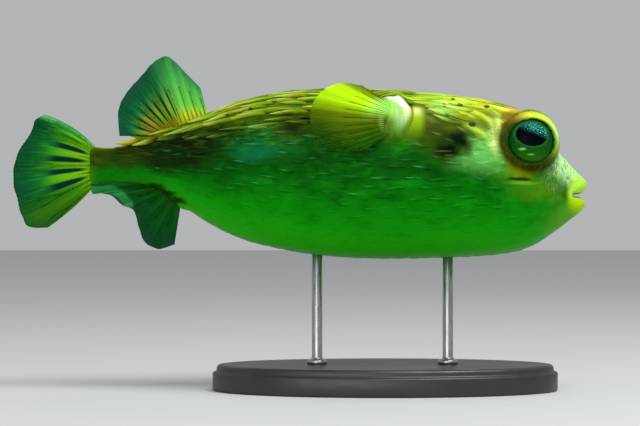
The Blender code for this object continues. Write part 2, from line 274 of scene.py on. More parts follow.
def bell(value, middle, width):
    """1 at the middle, falling softly to 0 on both sides."""
    return np.exp(-((value - middle) / width) ** 2)


def on_left(points):
    """Points brought over to the left side, since both sides are alike."""
    return np.stack([points[..., 0], np.abs(points[..., 1]), points[..., 2]], axis=-1)


def swell(points, centre, radii):
    """Pushes points out to an ellipsoid round a centre inside the body, with a smooth edge."""
    offset = points - centre
    reach = np.linalg.norm(offset, axis=-1)
    dome = reach / np.linalg.norm(offset / radii, axis=-1)
    overlap = np.clip(ORBIT_BLEND - np.abs(reach - dome), 0, None) / ORBIT_BLEND
    pushed = np.maximum(reach, dome) + overlap ** 2 * ORBIT_BLEND / 4
    return centre + offset * (pushed / reach)[..., None]


def body_surface(rows, angles):
    """The outer form at rows of its table and angles round it, from the left side over the back."""
    x, lead, top, bottom, half_width, level, squareness, back = (
        column[..., None] for column in np.moveaxis(smooth_rows(FORM, rows), -1, 0))
    across, up = np.cos(angles), np.sin(angles)
    power = 2 / squareness
    reach = np.where(up > 0, top - level, level - bottom)
    points = np.stack([x + lead * up - back * across ** 2,
                       half_width * np.sign(across) * np.abs(across) ** power,
                       level + reach * np.sign(up) * np.abs(up) ** power], axis=-1)
    for side in SIDES.values():
        points = swell(points, ORBIT * (1, side, 1), ORBIT_RADII)
    return points


def grid_normals(points):
    """Outward normals of a grid that closes round its columns."""
    along = np.gradient(points, axis=0)
    around = np.roll(points, -1, axis=1) - np.roll(points, 1, axis=1)
    normal = np.cross(along, around)
    return normal / np.maximum(np.linalg.norm(normal, axis=-1, keepdims=True), 1e-9)


def sight_axes(side):
    """An eye's line of sight, and the directions forward and up across it."""
    forward, up = math.radians(EYE_FORWARD), math.radians(EYE_UP)
    sight = np.array((math.sin(forward), side * math.cos(forward) * math.cos(up), math.sin(up)))
    sight /= np.linalg.norm(sight)
    lift = np.array((0.0, 0.0, 1.0)) - sight * sight[2]
    lift /= np.linalg.norm(lift)
    return sight, np.cross(sight, lift) * side, lift


def open_lids(points, side, eye_middle):
    """Rolls the lid out round the eye, and turns the skin inside it in behind the eyeball."""
    sight, ahead, lift = sight_axes(side)
    offset = points - eye_middle
    out = offset @ sight
    flat = np.stack([offset @ ahead, offset @ lift], axis=-1)
    radius = np.linalg.norm(flat, axis=-1)
    ring = np.linalg.norm(flat / EYE_OPENING, axis=-1)
    outer = out > 0
    edged = np.where((np.abs(ring - 1) < LID_EDGE) & outer, 1.0, ring)
    scale = (edged / np.maximum(ring, 1e-6))[..., None]
    flat, radius, ring = flat * scale, radius * scale[..., 0], edged
    points = eye_middle + sight * out[..., None] + ahead * flat[..., :1] + lift * flat[..., 1:]
    roll = LID_ROLL * bell(ring, *ROLL_PLACE) - LID_FURROW * bell(ring, *FURROW_PLACE)
    lidded = points + sight * (roll * outer * smooth_step(0.9, 1.0, ring))[..., None]
    cup_radius, cup_depth = EYE_RADIUS + CUP_GAP, EYE_DEPTH + CUP_GAP
    edge = radius / np.maximum(ring, 1e-6)
    start = np.arcsin(np.clip(edge / cup_radius, 0, 1))
    turn = start + (1 - ring) * (math.pi - start)
    unit = flat / np.maximum(radius, 1e-6)[..., None]
    cup = (eye_middle + sight * (cup_depth * np.cos(turn))[..., None]
           + (ahead * unit[..., :1] + lift * unit[..., 1:]) * (cup_radius * np.sin(turn))[..., None])
    inside = (ring <= 1) & outer
    return np.where(inside[..., None], cup, lidded)


FLANK_LEAN = 33.0                  # degrees the flank leans in where the pectoral fin grows
# Folds on the flank, as paths of x and z, with their half width and the shares along them between which
# they are full: the pale fold round the front of the pectoral fin's base, the gill slit in front of it,
# and the small crease behind, which swells to its middle
FLANK_FOLDS = {
    "fold": ([(-3.5, 110.4), (0.5, 111.4), (4.2, 110.2), (6.8, 107.4), (7.4, 104.2), (6.1, 100.8),
              (4.4, 97.8), (3.2, 94.6)], 1.75, 0.2, 0.6),
    "slit": ([(6.1, 111.2), (8.3, 109.2), (9.4, 105.6), (8.9, 101.8), (7.3, 98.4), (5.9, 95.2), (5.3, 92.6)],
             0.62, 0.15, 0.75),
    "crease": ([(-2.0, 104.4), (-2.6, 101.0), (-2.2, 97.6)], 0.8, None, None)}
# How far each form round the fin's base stands out from the flank
FLANK_RELIEF = {"lobe": 3.1, "fold": 1.1, "flap": 1.9, "slit": -0.8, "crease": 0.8}
# Ridges of skin that run over the nape down to the eye, and the fold behind it
NAPE_RIDGES = [[(20.5, 106.2), (28.6, 104.8), (34.9, 101.9)],
               [(23.7, 107.6), (32.4, 105.6), (37.4, 102.6), (40.6, 99.0)],
               [(22.0, 102.0), (28.6, 100.2), (34.8, 97.6), (38.6, 95.1)],
               [(41.2, 104.2), (42.0, 99.0), (42.4, 93.6)]]
RIDGE_WIDTH, TROUGH_PLACE = 0.9, 2.1
PATH_STEPS = 60


def path_distance(place, path):
    """How far places in a plane lie from a smooth path, and the share along it that is nearest to each."""
    line = smooth_rows(np.array(path, float), np.linspace(0, len(path) - 1, PATH_STEPS))
    gaps = np.linalg.norm(place[..., None, :] - line, axis=-1)
    return gaps.min(axis=-1), gaps.argmin(axis=-1) / (PATH_STEPS - 1)


def near_to(points, least_off, x, z, reach):
    """Which points lie near a place on either flank."""
    return ((np.abs(points[..., 1]) > least_off) & (np.abs(points[..., 0] - x) < reach)
            & (np.abs(points[..., 2] - z) < reach))


def fin_base_forms(points):
    """Shares, from 0 to 1, of the forms round each pectoral fin's base."""
    near = near_to(points, 8, 5, 102, 22)
    place = points[near][:, [0, 2]]
    x, z = place.T
    shares = {}
    for name, (path, width, full, last_full) in FLANK_FOLDS.items():
        gap, along = path_distance(place, path)
        shares[name] = bell(gap, 0, width)
        if full is None:
            shares[name] *= np.sin(math.pi * along)
        else:
            shares[name] *= smooth_step(0.0, full, along)
            shares[name] *= smooth_step(1.0, last_full, along)
    shares["lobe"] = (smooth_step(-6.5, 0.5, x) * smooth_step(9.2, 4.8, x + 0.03 * (z - 104) ** 2)
                      * smooth_step(90.5, 98.0, z) * smooth_step(113.5, 108.5, z))
    shares["flap"] = (smooth_step(15.6, 11.6, x + 0.035 * (z - 102) ** 2)
                      * smooth_step(6.7, 9.7, x + 0.05 * (z - 104) ** 2)
                      * smooth_step(91.0, 99.0, z) * smooth_step(108.2, 106.0, z))
    forms = {name: np.zeros(near.shape) for name in shares}
    for name, share in shares.items():
        forms[name][near] = share
    return forms


def nape_ridges(points):
    """How near each point is, from 0 to 1, to a ridge on the nape and to the trough beside it."""
    near = near_to(points, 10, 32, 106, 18)
    ridge, trough = np.zeros(near.shape), np.zeros(near.shape)
    for path in NAPE_RIDGES:
        gap, along = path_distance(points[near][:, [0, 2]], path)
        shown = smooth_step(0.0, 0.35, along) * smooth_step(1.0, 0.7, along)
        ridge[near] = np.maximum(ridge[near], bell(gap, 0, RIDGE_WIDTH) * shown)
        trough[near] = np.maximum(trough[near], bell(gap, TROUGH_PLACE, RIDGE_WIDTH) * shown)
    return ridge, trough * (1 - ridge)


def raise_fin_bases(points):
    """The gill flap, the slit behind it and the fleshy base of the pectoral fin, on both flanks."""
    forms = fin_base_forms(points)
    lift = sum(relief * forms[name] for name, relief in FLANK_RELIEF.items())
    lean, side = math.radians(FLANK_LEAN), np.sign(points[..., 1:2])
    outward = side * (0, math.cos(lean), 0) + (0, 0, math.sin(lean))
    return points + outward * lift[..., None]


def nostril_form(points):
    """How near each point is to a nostril, from 0 to 1."""
    return sum(bell(np.linalg.norm(points - node_middle(f"nostril_{name}"), axis=-1), 0, NOSTRIL_RADIUS)
               for name in SIDES)


def raise_nostrils(points):
    """A short papilla with a pit in its tip, between the eye and the lip."""
    near = nostril_form(points)
    rise = NOSTRIL_RISE * smooth_step(0.1, 0.7, near) - NOSTRIL_PIT * smooth_step(0.78, 0.95, near)
    return points + grid_normals(points) * rise[..., None]


def skin_rows():
    """The skin's rings, as rows of the form."""
    rows = [np.linspace(start, end, (end - start) * count, endpoint=False) for start, end, count in RING_PLAN]
    return np.append(np.concatenate(rows), len(FORM) - 1)


def skin_surface(rows, angles):
    """The skin itself, under the spines: points, and how high round the girth each lies (-1 to 1)."""
    points = body_surface(rows, angles)
    normals = grid_normals(points)
    x, up = points[..., 0], np.broadcast_to(np.sin(angles), points.shape[:2])
    covered = smooth_step(*COAT_FRONT, x) * smooth_step(*COAT_REAR, x)
    depth = COAT_DEPTH * covered * (0.4 + 0.6 * smooth_step(-0.7, 0.2, up))
    points = points - normals * depth[..., None]
    ridge, trough = nape_ridges(points)
    points = points + normals * (RIDGE_HEIGHT * (ridge - 0.3 * trough))[..., None]
    points[..., 2] -= ANAL_EDGE_DROP * bell(x, ANAL_EDGE_X, 2.8) * bell(points[..., 1], 0, 2.6) * (up < -0.5)
    points = raise_fin_bases(raise_nostrils(points))
    for name, side in SIDES.items():
        points = open_lids(points, side, node_middle(f"eye_{name}"))
    squareness = smooth_rows(FORM, rows)[:, 6, None]
    return points, np.sign(up) * np.abs(up) ** (2 / squareness)


def add_object(name, data):
    made = bpy.data.objects.new(name, data)
    bpy.context.scene.collection.objects.link(made)
    return made


def mesh_from(name, points, faces, smooth=True):
    data = bpy.data.meshes.new(name)
    data.from_pydata((np.asarray(points).reshape(-1, 3) * MM).tolist(), [], faces)
    data.update()
    if smooth:
        data.shade_smooth()
    return data


def set_numbers(data, **values):
    """Gives each point of a mesh a number under each of these names."""
    for name, numbers in values.items():
        layer = data.attributes.new(name, "FLOAT", 'POINT')
        layer.data.foreach_set("value", np.asarray(numbers, np.float32).ravel())


def set_vectors(data, **values):
    """Gives each point of a mesh a vector under each of these names."""
    for name, vectors in values.items():
        layer = data.attributes.new(name, "FLOAT_VECTOR", 'POINT')
        layer.data.foreach_set("vector", np.asarray(vectors, np.float32).ravel())


def grid_faces(rings, columns):
    """Quads between rings of points, and a fan over each end, wound to face outwards."""
    faces = []
    for i in range(rings - 1):
        for j in range(columns):
            k = (j + 1) % columns
            faces.append((i * columns + j, (i + 1) * columns + j, (i + 1) * columns + k, i * columns + k))
    faces.append(tuple(range(columns)))
    last = (rings - 1) * columns
    faces.append(tuple(range(last + columns - 1, last - 1, -1)))
    return faces


def sheet_faces(rings, columns):
    """The same round a thin sheet, each of whose rings runs down one face and back up the other."""
    faces = grid_faces(rings, columns)[:-2]
    last = (rings - 1) * columns
    for j in range(columns // 2 - 1):
        across = columns - 1 - j
        faces.append((j, j + 1, across - 1, across))
        faces.append((last + across, last + across - 1, last + j + 1, last + j))
    return faces


UNWRAP = "OFBake"
UNWRAP_MARGIN = 0.01


def unwrap_place(share):
    """Where a share along the body or round it lies on the unwrap."""
    return UNWRAP_MARGIN + (1 - 2 * UNWRAP_MARGIN) * share


def grid_unwrap(data, rings, columns):
    """An unwrap of the body's own shape: along it from the mouth back, and round it from the belly."""
    layer = data.uv_layers.new(name=UNWRAP)
    corners = np.zeros(len(data.loops), int)
    data.loops.foreach_get("vertex_index", corners)
    u = (corners // columns) / (rings - 1)
    v = (corners % columns) / columns
    starts = np.zeros(len(data.polygons), int)
    totals = np.zeros(len(data.polygons), int)
    data.polygons.foreach_get("loop_start", starts)
    data.polygons.foreach_get("loop_total", totals)
    for start in starts[totals == 4]:
        span = v[start:start + 4]
        if span.max() - span.min() > 0.5:
            span[span < 0.5] += 1
    uv = unwrap_place(np.stack([u, v], axis=-1))
    layer.data.foreach_set("uv", uv.astype(np.float32).ravel())


def lid_rings(points):
    """How far each point is from an eye's middle, in openings of its lids, and no more than LID_REACH."""
    off = on_left(points) - node_middle("eye_left")
    sight, ahead, lift = sight_axes(SIDES["left"])
    flat = np.stack([off @ ahead, off @ lift], axis=-1)
    ring = np.linalg.norm(flat / EYE_OPENING, axis=-1)
    return np.where(off @ sight > -1, np.minimum(ring, LID_REACH), LID_REACH)


def build_skin():
    """The fish's one skin, with the shares of each form on it for its material to read."""
    rows = skin_rows()
    angles = np.arange(SKIN_COLUMNS) * 2 * math.pi / SKIN_COLUMNS - math.pi / 2
    points, girth = skin_surface(rows, angles)
    data = mesh_from("fish_skin", points, grid_faces(len(rows), SKIN_COLUMNS))
    ridge, trough = nape_ridges(points)
    set_numbers(data, girth=girth, lid_ring=lid_rings(points), **fin_base_forms(points),
                nostril=nostril_form(points), ridge=ridge, trough=trough,
                mouth_row=np.repeat(rows, SKIN_COLUMNS))
    grid_unwrap(data, len(rows), SKIN_COLUMNS)
    return add_object("fish_skin", data)


skin = build_skin()
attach(skin, "root")
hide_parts("head", "trunk", "tail_stalk", "upper_lip", "lower_lip", "nostril_right", "nostril_left",
            "gill_flap_right", "gill_flap_left", "pectoral_base_right", "pectoral_base_left")


# ---- the skin's colours ------------------------------------------------------------------------
# Round the girth, from the belly (-1) over the middle of the flank (0) to the back (1)
GIRTH_COLOURS = [(-0.95, (40, 164, 12)), (-0.7, (20, 152, 9)), (-0.45, (8, 126, 6)),
                 (-0.2, (6, 102, 7)), (0.0, (6, 76, 8)), (0.2, (11, 84, 10)), (0.4, (24, 80, 7)),
                 (0.6, (56, 84, 4)), (0.78, (72, 94, 8)), (0.95, (90, 110, 18))]
# Soft areas of colour: middle in x, away from the middle plane and up, radii, colour, strength, soft edge
PATCHES = [
    ((37, 24, 91.5), (13, 16, 7.6), (104, 190, 84), 0.92, 0.55),   # cheek
    ((34, 0, 114), (24, 22, 12.5), (198, 242, 50), 0.9, 0.4),      # nape
    ((41.2, 22, 96.5), (3.4, 8, 7.4), (222, 240, 130), 0.9, 0.6),  # behind the eye
    ((69, 0, 86), (14, 24, 7.4), (196, 246, 160), 1.0, 0.35),      # snout
    ((66, 0, 66), (12, 16, 7), (90, 156, 20), 0.8, 0.6),           # chin
    ((57, 18, 76), (10, 10, 4), (84, 140, 12), 0.7, 0.7),          # jaw behind the mouth
    ((49, 22, 84), (10, 12, 6), (58, 134, 24), 0.8, 0.6),          # cheek under the eye
    ((49.0, 22, 85.6), (5.2, 12, 6.0), (112, 126, 3), 0.95, 0.35), # brown bar under the eye
    ((57, 20, 83.8), (6, 10, 2.0), (70, 84, 4), 0.7, 0.6),         # shade under the lid
    ((49.0, 22, 80.4), (4.4, 10, 0.7), (6, 34, 4), 0.9, 0.4),      # painted shade of a crease under the bar
    ((50.5, 22, 79.0), (5.6, 10, 0.6), (110, 184, 30), 0.6, 0.7),  # pale streak under it
    ((60, 0, 106), (14, 15, 9), (182, 214, 84), 0.9, 0.4),         # brow, its paleness a painted highlight
    ((46.5, 13, 106.6), (3.8, 8, 1.8), (228, 166, 20), 0.75, 0.6), # orange and brown behind the brow
    ((45.4, 16, 103.8), (2.4, 8, 1.8), (120, 86, 10), 0.7, 0.6),
    ((15.5, 27, 100), (4.5, 9, 6), (70, 70, 8), 0.7, 0.6),         # brown before the flap
    ((-43, 20, 95), (14, 14, 6.5), (26, 104, 36), 0.55, 0.7),      # grey-green flank behind the pectoral fin
    ((-49, 18, 91), (9, 12, 3.6), (6, 104, 60), 0.75, 0.7),        # and a blue-green patch in it
    ((-91, 4, 100.0), (12, 5, 2.2), (158, 168, 12), 0.8, 0.6),     # yellow behind the dorsal fin
    ((-100, 2, 80.5), (16, 8, 3.6), (12, 84, 5), 0.6, 0.6),        # painted shade on the stalk's underside
    ((-62, 15, 82), (12, 12, 6), (5, 68, 8), 0.6, 0.6),            # dark low on the rear flank
    ((-113.5, 3, 87), (2.2, 6, 7), (94, 116, 6), 0.55, 0.9),       # the stalk's end
]
# Dark marks and painted shade, which lie over the spines too, in the same terms
MARKS_AND_SHADE = [
    ((-79, 6, 91.5), (26, 14, 8.0), (15, 30, 7), 0.95, 0.4),       # dark band to the tail
    ((-73.5, 10, 95.0), (8, 14, 2.6), (13, 27, 6), 0.85, 0.6),     # darkest under the last spines
    ((-62.0, 12, 98.6), (8, 14, 2.3), (15, 31, 6), 0.75, 0.6),
    ((-101, 3, 88.9), (11, 6, 3.8), (34, 56, 5), 0.85, 0.6),       # and on along the stalk
    ((-98, 3, 91.6), (7, 5, 1.6), (42, 48, 5), 0.7, 0.6),
    ((-109.0, 3, 89.6), (2.6, 6, 3.0), (62, 66, 4), 0.5, 0.8),
    ((-88, 3, 77.6), (4.2, 6, 1.5), (18, 34, 4), 0.9, 0.5),        # painted shade in the crease over the anal fin
    ((-83.6, 3, 75.4), (4.2, 6, 1.7), (16, 26, 4), 0.9, 0.5),
    ((-79.4, 3, 72.8), (3.6, 6, 1.6), (20, 34, 4), 0.9, 0.5),
    ((22.5, 27, 95.0), (8.2, 12, 8.2), (46, 70, 9), 0.9, 0.4),     # blotch before the gill
    ((23.2, 27, 92.8), (5.2, 12, 4.8), (24, 42, 7), 0.75, 0.6),    # and its darker parts
    ((25.6, 27, 95.8), (2.6, 8, 2.8), (5, 12, 5), 0.95, 0.6),
    ((22.0, 28, 90.2), (4.2, 8, 2.3), (4, 9, 4), 0.92, 0.6),
    ((20.2, 28, 90.6), (2.6, 8, 0.3), (92, 118, 44), 0.5, 0.8),    # and pale lines across it
    ((23.0, 28, 89.1), (1.5, 8, 0.3), (80, 112, 40), 0.4, 0.8),
    ((23.8, 27, 99.5), (3.0, 8, 0.7), (104, 84, 12), 0.6, 0.7),    # brown ridge across it
    ((-34, 24, 101), (8, 12, 5.4), (52, 56, 5), 0.75, 0.6),        # blotch behind the pectoral fin
    ((-37.5, 22, 105), (2.8, 8, 0.9), (5, 10, 3), 0.95, 0.5),      # and the near-black marks in it
    ((-29.5, 24, 103.2), (2.6, 8, 1.1), (6, 10, 4), 0.95, 0.5),
    ((-35.2, 24, 99.6), (3.2, 8, 1.6), (10, 20, 4), 0.8, 0.8),
    ((-33.6, 24, 97.2), (3.6, 8, 1.3), (14, 32, 5), 0.6, 0.8),
    ((36.5, 14, 109.6), (3.6, 8, 1.5), (240, 200, 20), 0.45, 0.6), # warm and cool parts of the nape
    ((20.5, 19, 107.2), (4.6, 8, 2.2), (150, 228, 116), 0.45, 0.6),
    ((19.5, 12, 111.4), (5.0, 8, 1.6), (136, 220, 56), 0.4, 0.6),
    ((27.6, 24, 103.8), (2.8, 8, 1.0), (112, 118, 8), 0.6, 0.6),   # painted shade in the troughs under its ridges
    ((32.0, 24, 101.9), (2.8, 8, 0.9), (108, 116, 8), 0.6, 0.6),
    ((37.2, 24, 99.2), (1.7, 8, 1.5), (84, 104, 10), 0.6, 0.6),
    ((-24, 0, 118), (14, 9, 7), (60, 66, 14), 0.6, 0.4),           # mid-back blotch
    ((4, 0, 118), (9, 17, 6), (150, 84, 22), 0.5, 0.5),            # bar across the nape
    ((-76, 0, 105), (11, 5, 6), (44, 50, 12), 0.5, 0.5),           # blotch round the dorsal fin
    ((-104, 3, 90.6), (8, 6, 1.8), (30, 48, 5), 0.6, 0.5),         # dark line along the stalk
    ((-107.5, 1, 93.8), (7, 4, 0.9), (206, 178, 6), 0.85, 0.5),    # yellow top of the stalk
    ((-99.5, 1, 96.0), (5, 4, 1.6), (200, 176, 8), 0.8, 0.5),
]
# Small round spots: x, away from the middle plane, up, radius
SPOTS = [(31.5, 24, 100.8, 1.4), (37.8, 15.6, 107.9, 1.1), (27.7, 17.4, 108.4, 1.2), (25.4, 13.4, 110.9, 0.9),
         (21.6, 19, 108.1, 1.0), (-4.0, 15.4, 111.5, 1.3), (-16.0, 12, 113.0, 1.2),
         (-42.0, 12.4, 110.0, 1.2), (-51.0, 12.8, 106.8, 0.8), (-60.0, 10.5, 105.0, 0.6)]
SPOT_COLOUR = (14, 22, 8)
CHEEK_MIDDLE, CHEEK_RADII = (37.0, 26.0, 90.5), (12.0, 14.0, 8.0)    # of the pale streaks under the eye


def mirrored_place(t, place):
    """A place brought over to the left side, since both sides are marked alike."""
    x, y, z = t.parts(place)
    return t.vector(x, abs(y), z)


# How far a patch's edge wavers, in a broad and in a ragged way: at most, and as a share of its least radius
BROAD_WAVER, RAGGED_WAVER = (7.0, 2.4), (3.0, 1.3)


def painted(t, place, colour, patches, share=1.0):
    """Lays patches of colour with wavering soft edges over a colour."""
    warp = t.noise(place, 9.0, 3.0, "Color") - 0.5
    ragged = t.noise(place * (0.45, 1.0, 1.0), 1.7, 2.0, "Color") - 0.5
    for middle, radii, patch, strength, edge in patches:
        broad, fine = (min(most, part * min(radii)) for most, part in (BROAD_WAVER, RAGGED_WAVER))
        wandering = place + warp * broad + ragged * fine
        reach = t.length((wandering - middle) / radii)
        colour = t.mix(t.step(reach, 1 + edge, 1 - edge) * strength * share, colour, patch)
    return colour


def ground_colour(t, place, girth):
    """The fish's soft colours, the same for the skin and the spines on it."""
    place = mirrored_place(t, place)
    colour = t.ramp(girth + (t.noise(place, 14.0, 3.0) - 0.5) * 0.22, GIRTH_COLOURS)
    broad = t.noise(place * (0.5, 1.0, 1.0), 5.5, 3.0)
    flank = t.step(girth, 0.62, 0.4) * t.step(girth, -0.8, -0.25, 0.3)
    colour = t.coats(colour, (flank * t.step(broad, 0.52, 0.72) * 0.5, (2, 52, 4)),
                     (flank * t.step(broad, 0.48, 0.3) * 0.32, (20, 158, 24)))
    colour = painted(t, place, colour, PATCHES)
    streaky = t.noise(place * (0.16, 1.0, 1.0), 1.5, 3.0)
    between = t.within(girth, 0.15, 0.35, 0.6, 0.8)
    mottle = t.noise(place * (0.35, 1.0, 1.0), 1.9, 3.0)
    return t.coats(colour, (between * t.step(streaky, 0.52, 0.38) * 0.6, (14, 36, 5)),
                   (between * t.step(streaky, 0.56, 0.7) * 0.45, (96, 140, 52)),
                   (t.step(mottle, 0.5, 0.75) * t.step(girth, -0.7, -0.2, 0.12, 0.35), (3, 56, 8)),
                   (t.step(mottle, 0.46, 0.25) * 0.2, (30, 150, 28)))


def with_dark_marks_and_shade(t, place, colour, share=1.0):
    """Adds the blotches, the painted shade among them and the small spots, fully or by a share."""
    place = mirrored_place(t, place)
    colour = painted(t, place, colour, MARKS_AND_SHADE, share)
    wandering = place + (t.noise(place, 4.0, 2.0, "Color") - 0.5) * 2.0
    for middle_x, off, up, radius in SPOTS:
        reach = t.length((wandering - (middle_x, off, up)) / (radius, 4 * radius, radius * 0.8))
        colour = t.mix(t.step(reach, 1.3, 0.7) * 0.9 * share, colour, SPOT_COLOUR)
    return colour


def nape_folds(t, place, girth):
    """How much of the wrinkled nape a place is in, and its folds, which run down to the eye."""
    x, y, z = t.parts(place)
    share = t.within(x, 13.0, 21.0, 44.0, 50.0) * t.step(girth, 0.5, 0.78)
    along, across = x * 0.93 - z * 0.37, x * 0.37 + z * 0.93
    return share, t.noise(t.vector(along * 0.3, abs(y) * 0.8, across), 2.8, 3.0)


# A thin wet gloss, tinted as the light on the fish is
WET_GLOSS = {"Specular IOR Level": 0.035, "Specular Tint": (0.45, 1.0, 0.35, 1.0)}


def lip_colour(t, x, y, z):
    """Yellow-green lips, deeper below, with fine green wrinkles."""
    lips = t.mix(t.step(z, 76.5, 72.5), (178, 234, 66), (170, 208, 12))
    wrinkles = t.noise(t.vector(x, y * 0.4, z), 0.6, 2.0)
    return t.mix(t.step(wrinkles, 0.5, 0.7) * 0.3, lips, (120, 170, 20))


def lid_colour(t, place, x, z):
    """Eyelids that are bright in front and brown behind, with a painted highlight on top and painted shade,
    dark brown, below.
    """
    front = t.ramp(z, [(81, (40, 52, 3)), (85, (38, 44, 3)), (88, (66, 84, 5)), (91, (140, 190, 40)),
                       (98, (204, 255, 130)), (103, (210, 242, 70)), (107, (196, 196, 36))])
    behind = t.ramp(z, [(83, (58, 62, 5)), (87, (54, 50, 4)), (91, (46, 54, 5)), (97, (38, 58, 5)),
                        (101, (78, 64, 6)), (104, (146, 98, 12)), (107, (182, 144, 18))])
    lid = t.mix(t.step(x, 54.5, 46.5), front, behind)
    return t.mix(t.step(t.noise(place, 1.6, 3.0), 0.5, 0.7) * 0.3, lid, (90, 110, 10))


def fin_base_colour(t, x, z):
    """The pectoral fin's fleshy base: pale on top as a painted highlight, pleated, and green low down as
    painted shade.
    """
    pleats = t.noise(t.vector(x, 0.0, z * 0.12), 0.8, 2.0)
    rear = t.mix(t.step(z, 101.0, 106.0), (76, 112, 20), (156, 228, 84))
    front = t.ramp(z, [(94, (44, 104, 20)), (98, (104, 156, 56)), (104, (176, 216, 134))])
    base = t.mix(t.step(x, 5.3, 0.3), front, rear)
    return t.coats(base, (t.step(pleats, 0.42, 0.66) * 0.3, (110, 150, 60)),
                   (t.step(z, 99.0, 93.0) * 0.8, (40, 104, 16)))


def skin_material():
    """Skin with the fish's markings, a wrinkled nape and snout, lips, eyelids and the fin's fleshy base."""
    material, t = new_material("porcupinefish_skin")
    place = t.place()
    x, y, z = t.parts(place)
    girth, ring, row = t.read("girth"), t.read("lid_ring"), t.read("mouth_row")
    nape, folds = nape_folds(t, place, girth)
    cheek = t.length((t.vector(x, abs(y), z) - CHEEK_MIDDLE) / CHEEK_RADII)
    streaks = t.noise(t.vector(x * 0.3, 0.0, z), 1.3, 2.0)
    crest = t.mix(t.step(x, 38.5, 40.5), (214, 236, 62), (226, 250, 108))
    colour = t.coats(
        ground_colour(t, place, girth),
        # painted shade between the nape's folds and painted highlights on their tops
        (nape * t.step(folds, 0.5, 0.34) * 0.6, (120, 132, 8)),
        (nape * t.step(folds, 0.48, 0.64) * 0.75, (218, 236, 96)),
        (t.step(cheek, 1.2, 0.5) * t.step(streaks, 0.54, 0.72) * 0.55, (160, 226, 150)),
        # painted shade in the troughs beside the nape's ridges, and a painted highlight along the ridges
        (t.read("trough") * 0.6, (104, 112, 5)),
        (t.read("ridge") * 0.75, crest))
    colour = with_dark_marks_and_shade(t, place, colour)
    fibres = t.noise(t.vector(x * 0.18, 0.0, z), 1.2, 3.0)
    band = t.step(x, -54.0, -70.0) * t.step(girth, 0.8, 0.6) * t.step(girth, -0.15, 0.1)
    snout = t.step(x, 57.0, 61.0) * t.step(z, 75.0, 79.0)
    wrinkles = t.noise(t.vector(x * 0.9, y * 1.6, z * 0.3), 0.8, 3.0)
    # painted highlight along the fold round the front of the fin's base
    fold_highlight = t.mix(t.step(z, 102.0, 110.0), (196, 232, 160), (240, 250, 220))
    tongue = t.ramp(z, [(93, (48, 102, 12)), (98, (100, 136, 12)), (103, (146, 178, 30)),
                        (106.5, (224, 240, 130))])
    colour = t.coats(
        colour,
        (band * t.step(fibres, 0.5, 0.66) * 0.45, (60, 84, 14)),
        (band * t.step(fibres, 0.46, 0.32) * 0.5, (6, 10, 3)),
        # painted shade in the snout's wrinkles and painted highlights on their tops
        (snout * t.step(wrinkles, 0.54, 0.36) * 0.6, (104, 170, 84)),
        (snout * t.step(wrinkles, 0.58, 0.7) * 0.5, (236, 255, 210)),
        (t.step(row, 9.2, 6.2), lip_colour(t, x, y, z)),
        (t.step(row, 3.8, 2.8), (60, 40, 8)),                            # painted shade inside the mouth
        (t.step(ring, 1.62, 1.3), lid_colour(t, place, x, z)),
        (t.step(ring, 1.22, 1.02) * 0.75, (24, 62, 8)),                  # painted shade on the lids' inner edge, by the eyeball
        # the fin's fleshy base, with its painted highlight and shade
        (t.read("lobe") * 0.95, fin_base_colour(t, x, z)),
        (t.step(t.read("fold"), 0.25, 1.0) * t.step(z, 97.0, 107.0), fold_highlight),
        # painted shade in the nostrils' pits
        (t.step(t.read("nostril"), 0.72, 0.92) * 0.8, (60, 92, 30)),
        (t.read("crease") * 0.8, (210, 236, 120)),
        (t.read("flap") * 0.95, tongue),
        # painted shade in the gill slit, strongest near its top
        (t.step(t.read("slit"), 0.3, 1.0) * t.step(z, 98.0, 108.0, 0.3, 0.9), (52, 78, 10)))
    pores, grain = t.noise(place, 0.55, 2.0), t.noise(place, 1.6, 4.0)
    height = grain * 0.5 + pores * 0.25 + snout * wrinkles * 0.9 + nape * folds * 2.2
    return finish_with(material, t, {"Base Color": colour, "Roughness": t.step(grain, 0.3, 0.7, 0.32, 0.48),
                                     "Normal": t.bump(height, 0.35), **WET_GLOSS})


# ---- spines ------------------------------------------------------------------------------------
SPINE_ROW_GAP = 5.2        # between one ring of roots and the next
SPINE_GAP = (7.6, 5.0)     # between the roots of a ring, on the belly and on the back
SPINE_PATCH = 0.003        # a spine's share of the unwrap
SPINE_SEED = 7
FIRST_SPINE_ROW = 6        # of the form, behind the lips
FINE_ROWS, FINE_TURNS = 4000, 721
HEAD_START = (12, 18)      # x where the trunk's spines give way to the head's
# Along a spine from its root: how wide, how far its underside lifts, how thick it is
SPINE_STATIONS = [(0.0, 0.25, -0.3, 0.1), (0.08, 0.7, -0.15, 0.55), (0.2, 0.95, -0.05, 0.9),
                  (0.38, 1.0, 0.0, 1.0), (0.56, 0.82, 0.05, 0.95), (0.72, 0.58, 0.15, 0.75),
                  (0.86, 0.34, 0.3, 0.5), (0.96, 0.16, 0.4, 0.3), (1.0, 0.04, 0.5, 0.1)]
# Across it, from one edge over the crest to the other and under: how far out and how high
SPINE_PROFILE = [(-1.0, 0.0), (-0.62, 0.66), (0.0, 1.0), (0.62, 0.66), (1.0, 0.0), (0.0, -0.25)]


def spine_template():
    """One spine lying in its sheath, flat; its rise is an attribute until it is laid on the skin."""
    points = [(place, across * width, 0)
              for place, width, _, _ in SPINE_STATIONS for across, _ in SPINE_PROFILE]
    rise = [lift + up * thick for _, _, lift, thick in SPINE_STATIONS for _, up in SPINE_PROFILE]
    data = bpy.data.meshes.new("spine")
    data.from_pydata(points, [], grid_faces(len(SPINE_STATIONS), len(SPINE_PROFILE)))
    set_vectors(data, along=points)
    set_numbers(data, rise=rise)
    return add_object("spine", data)


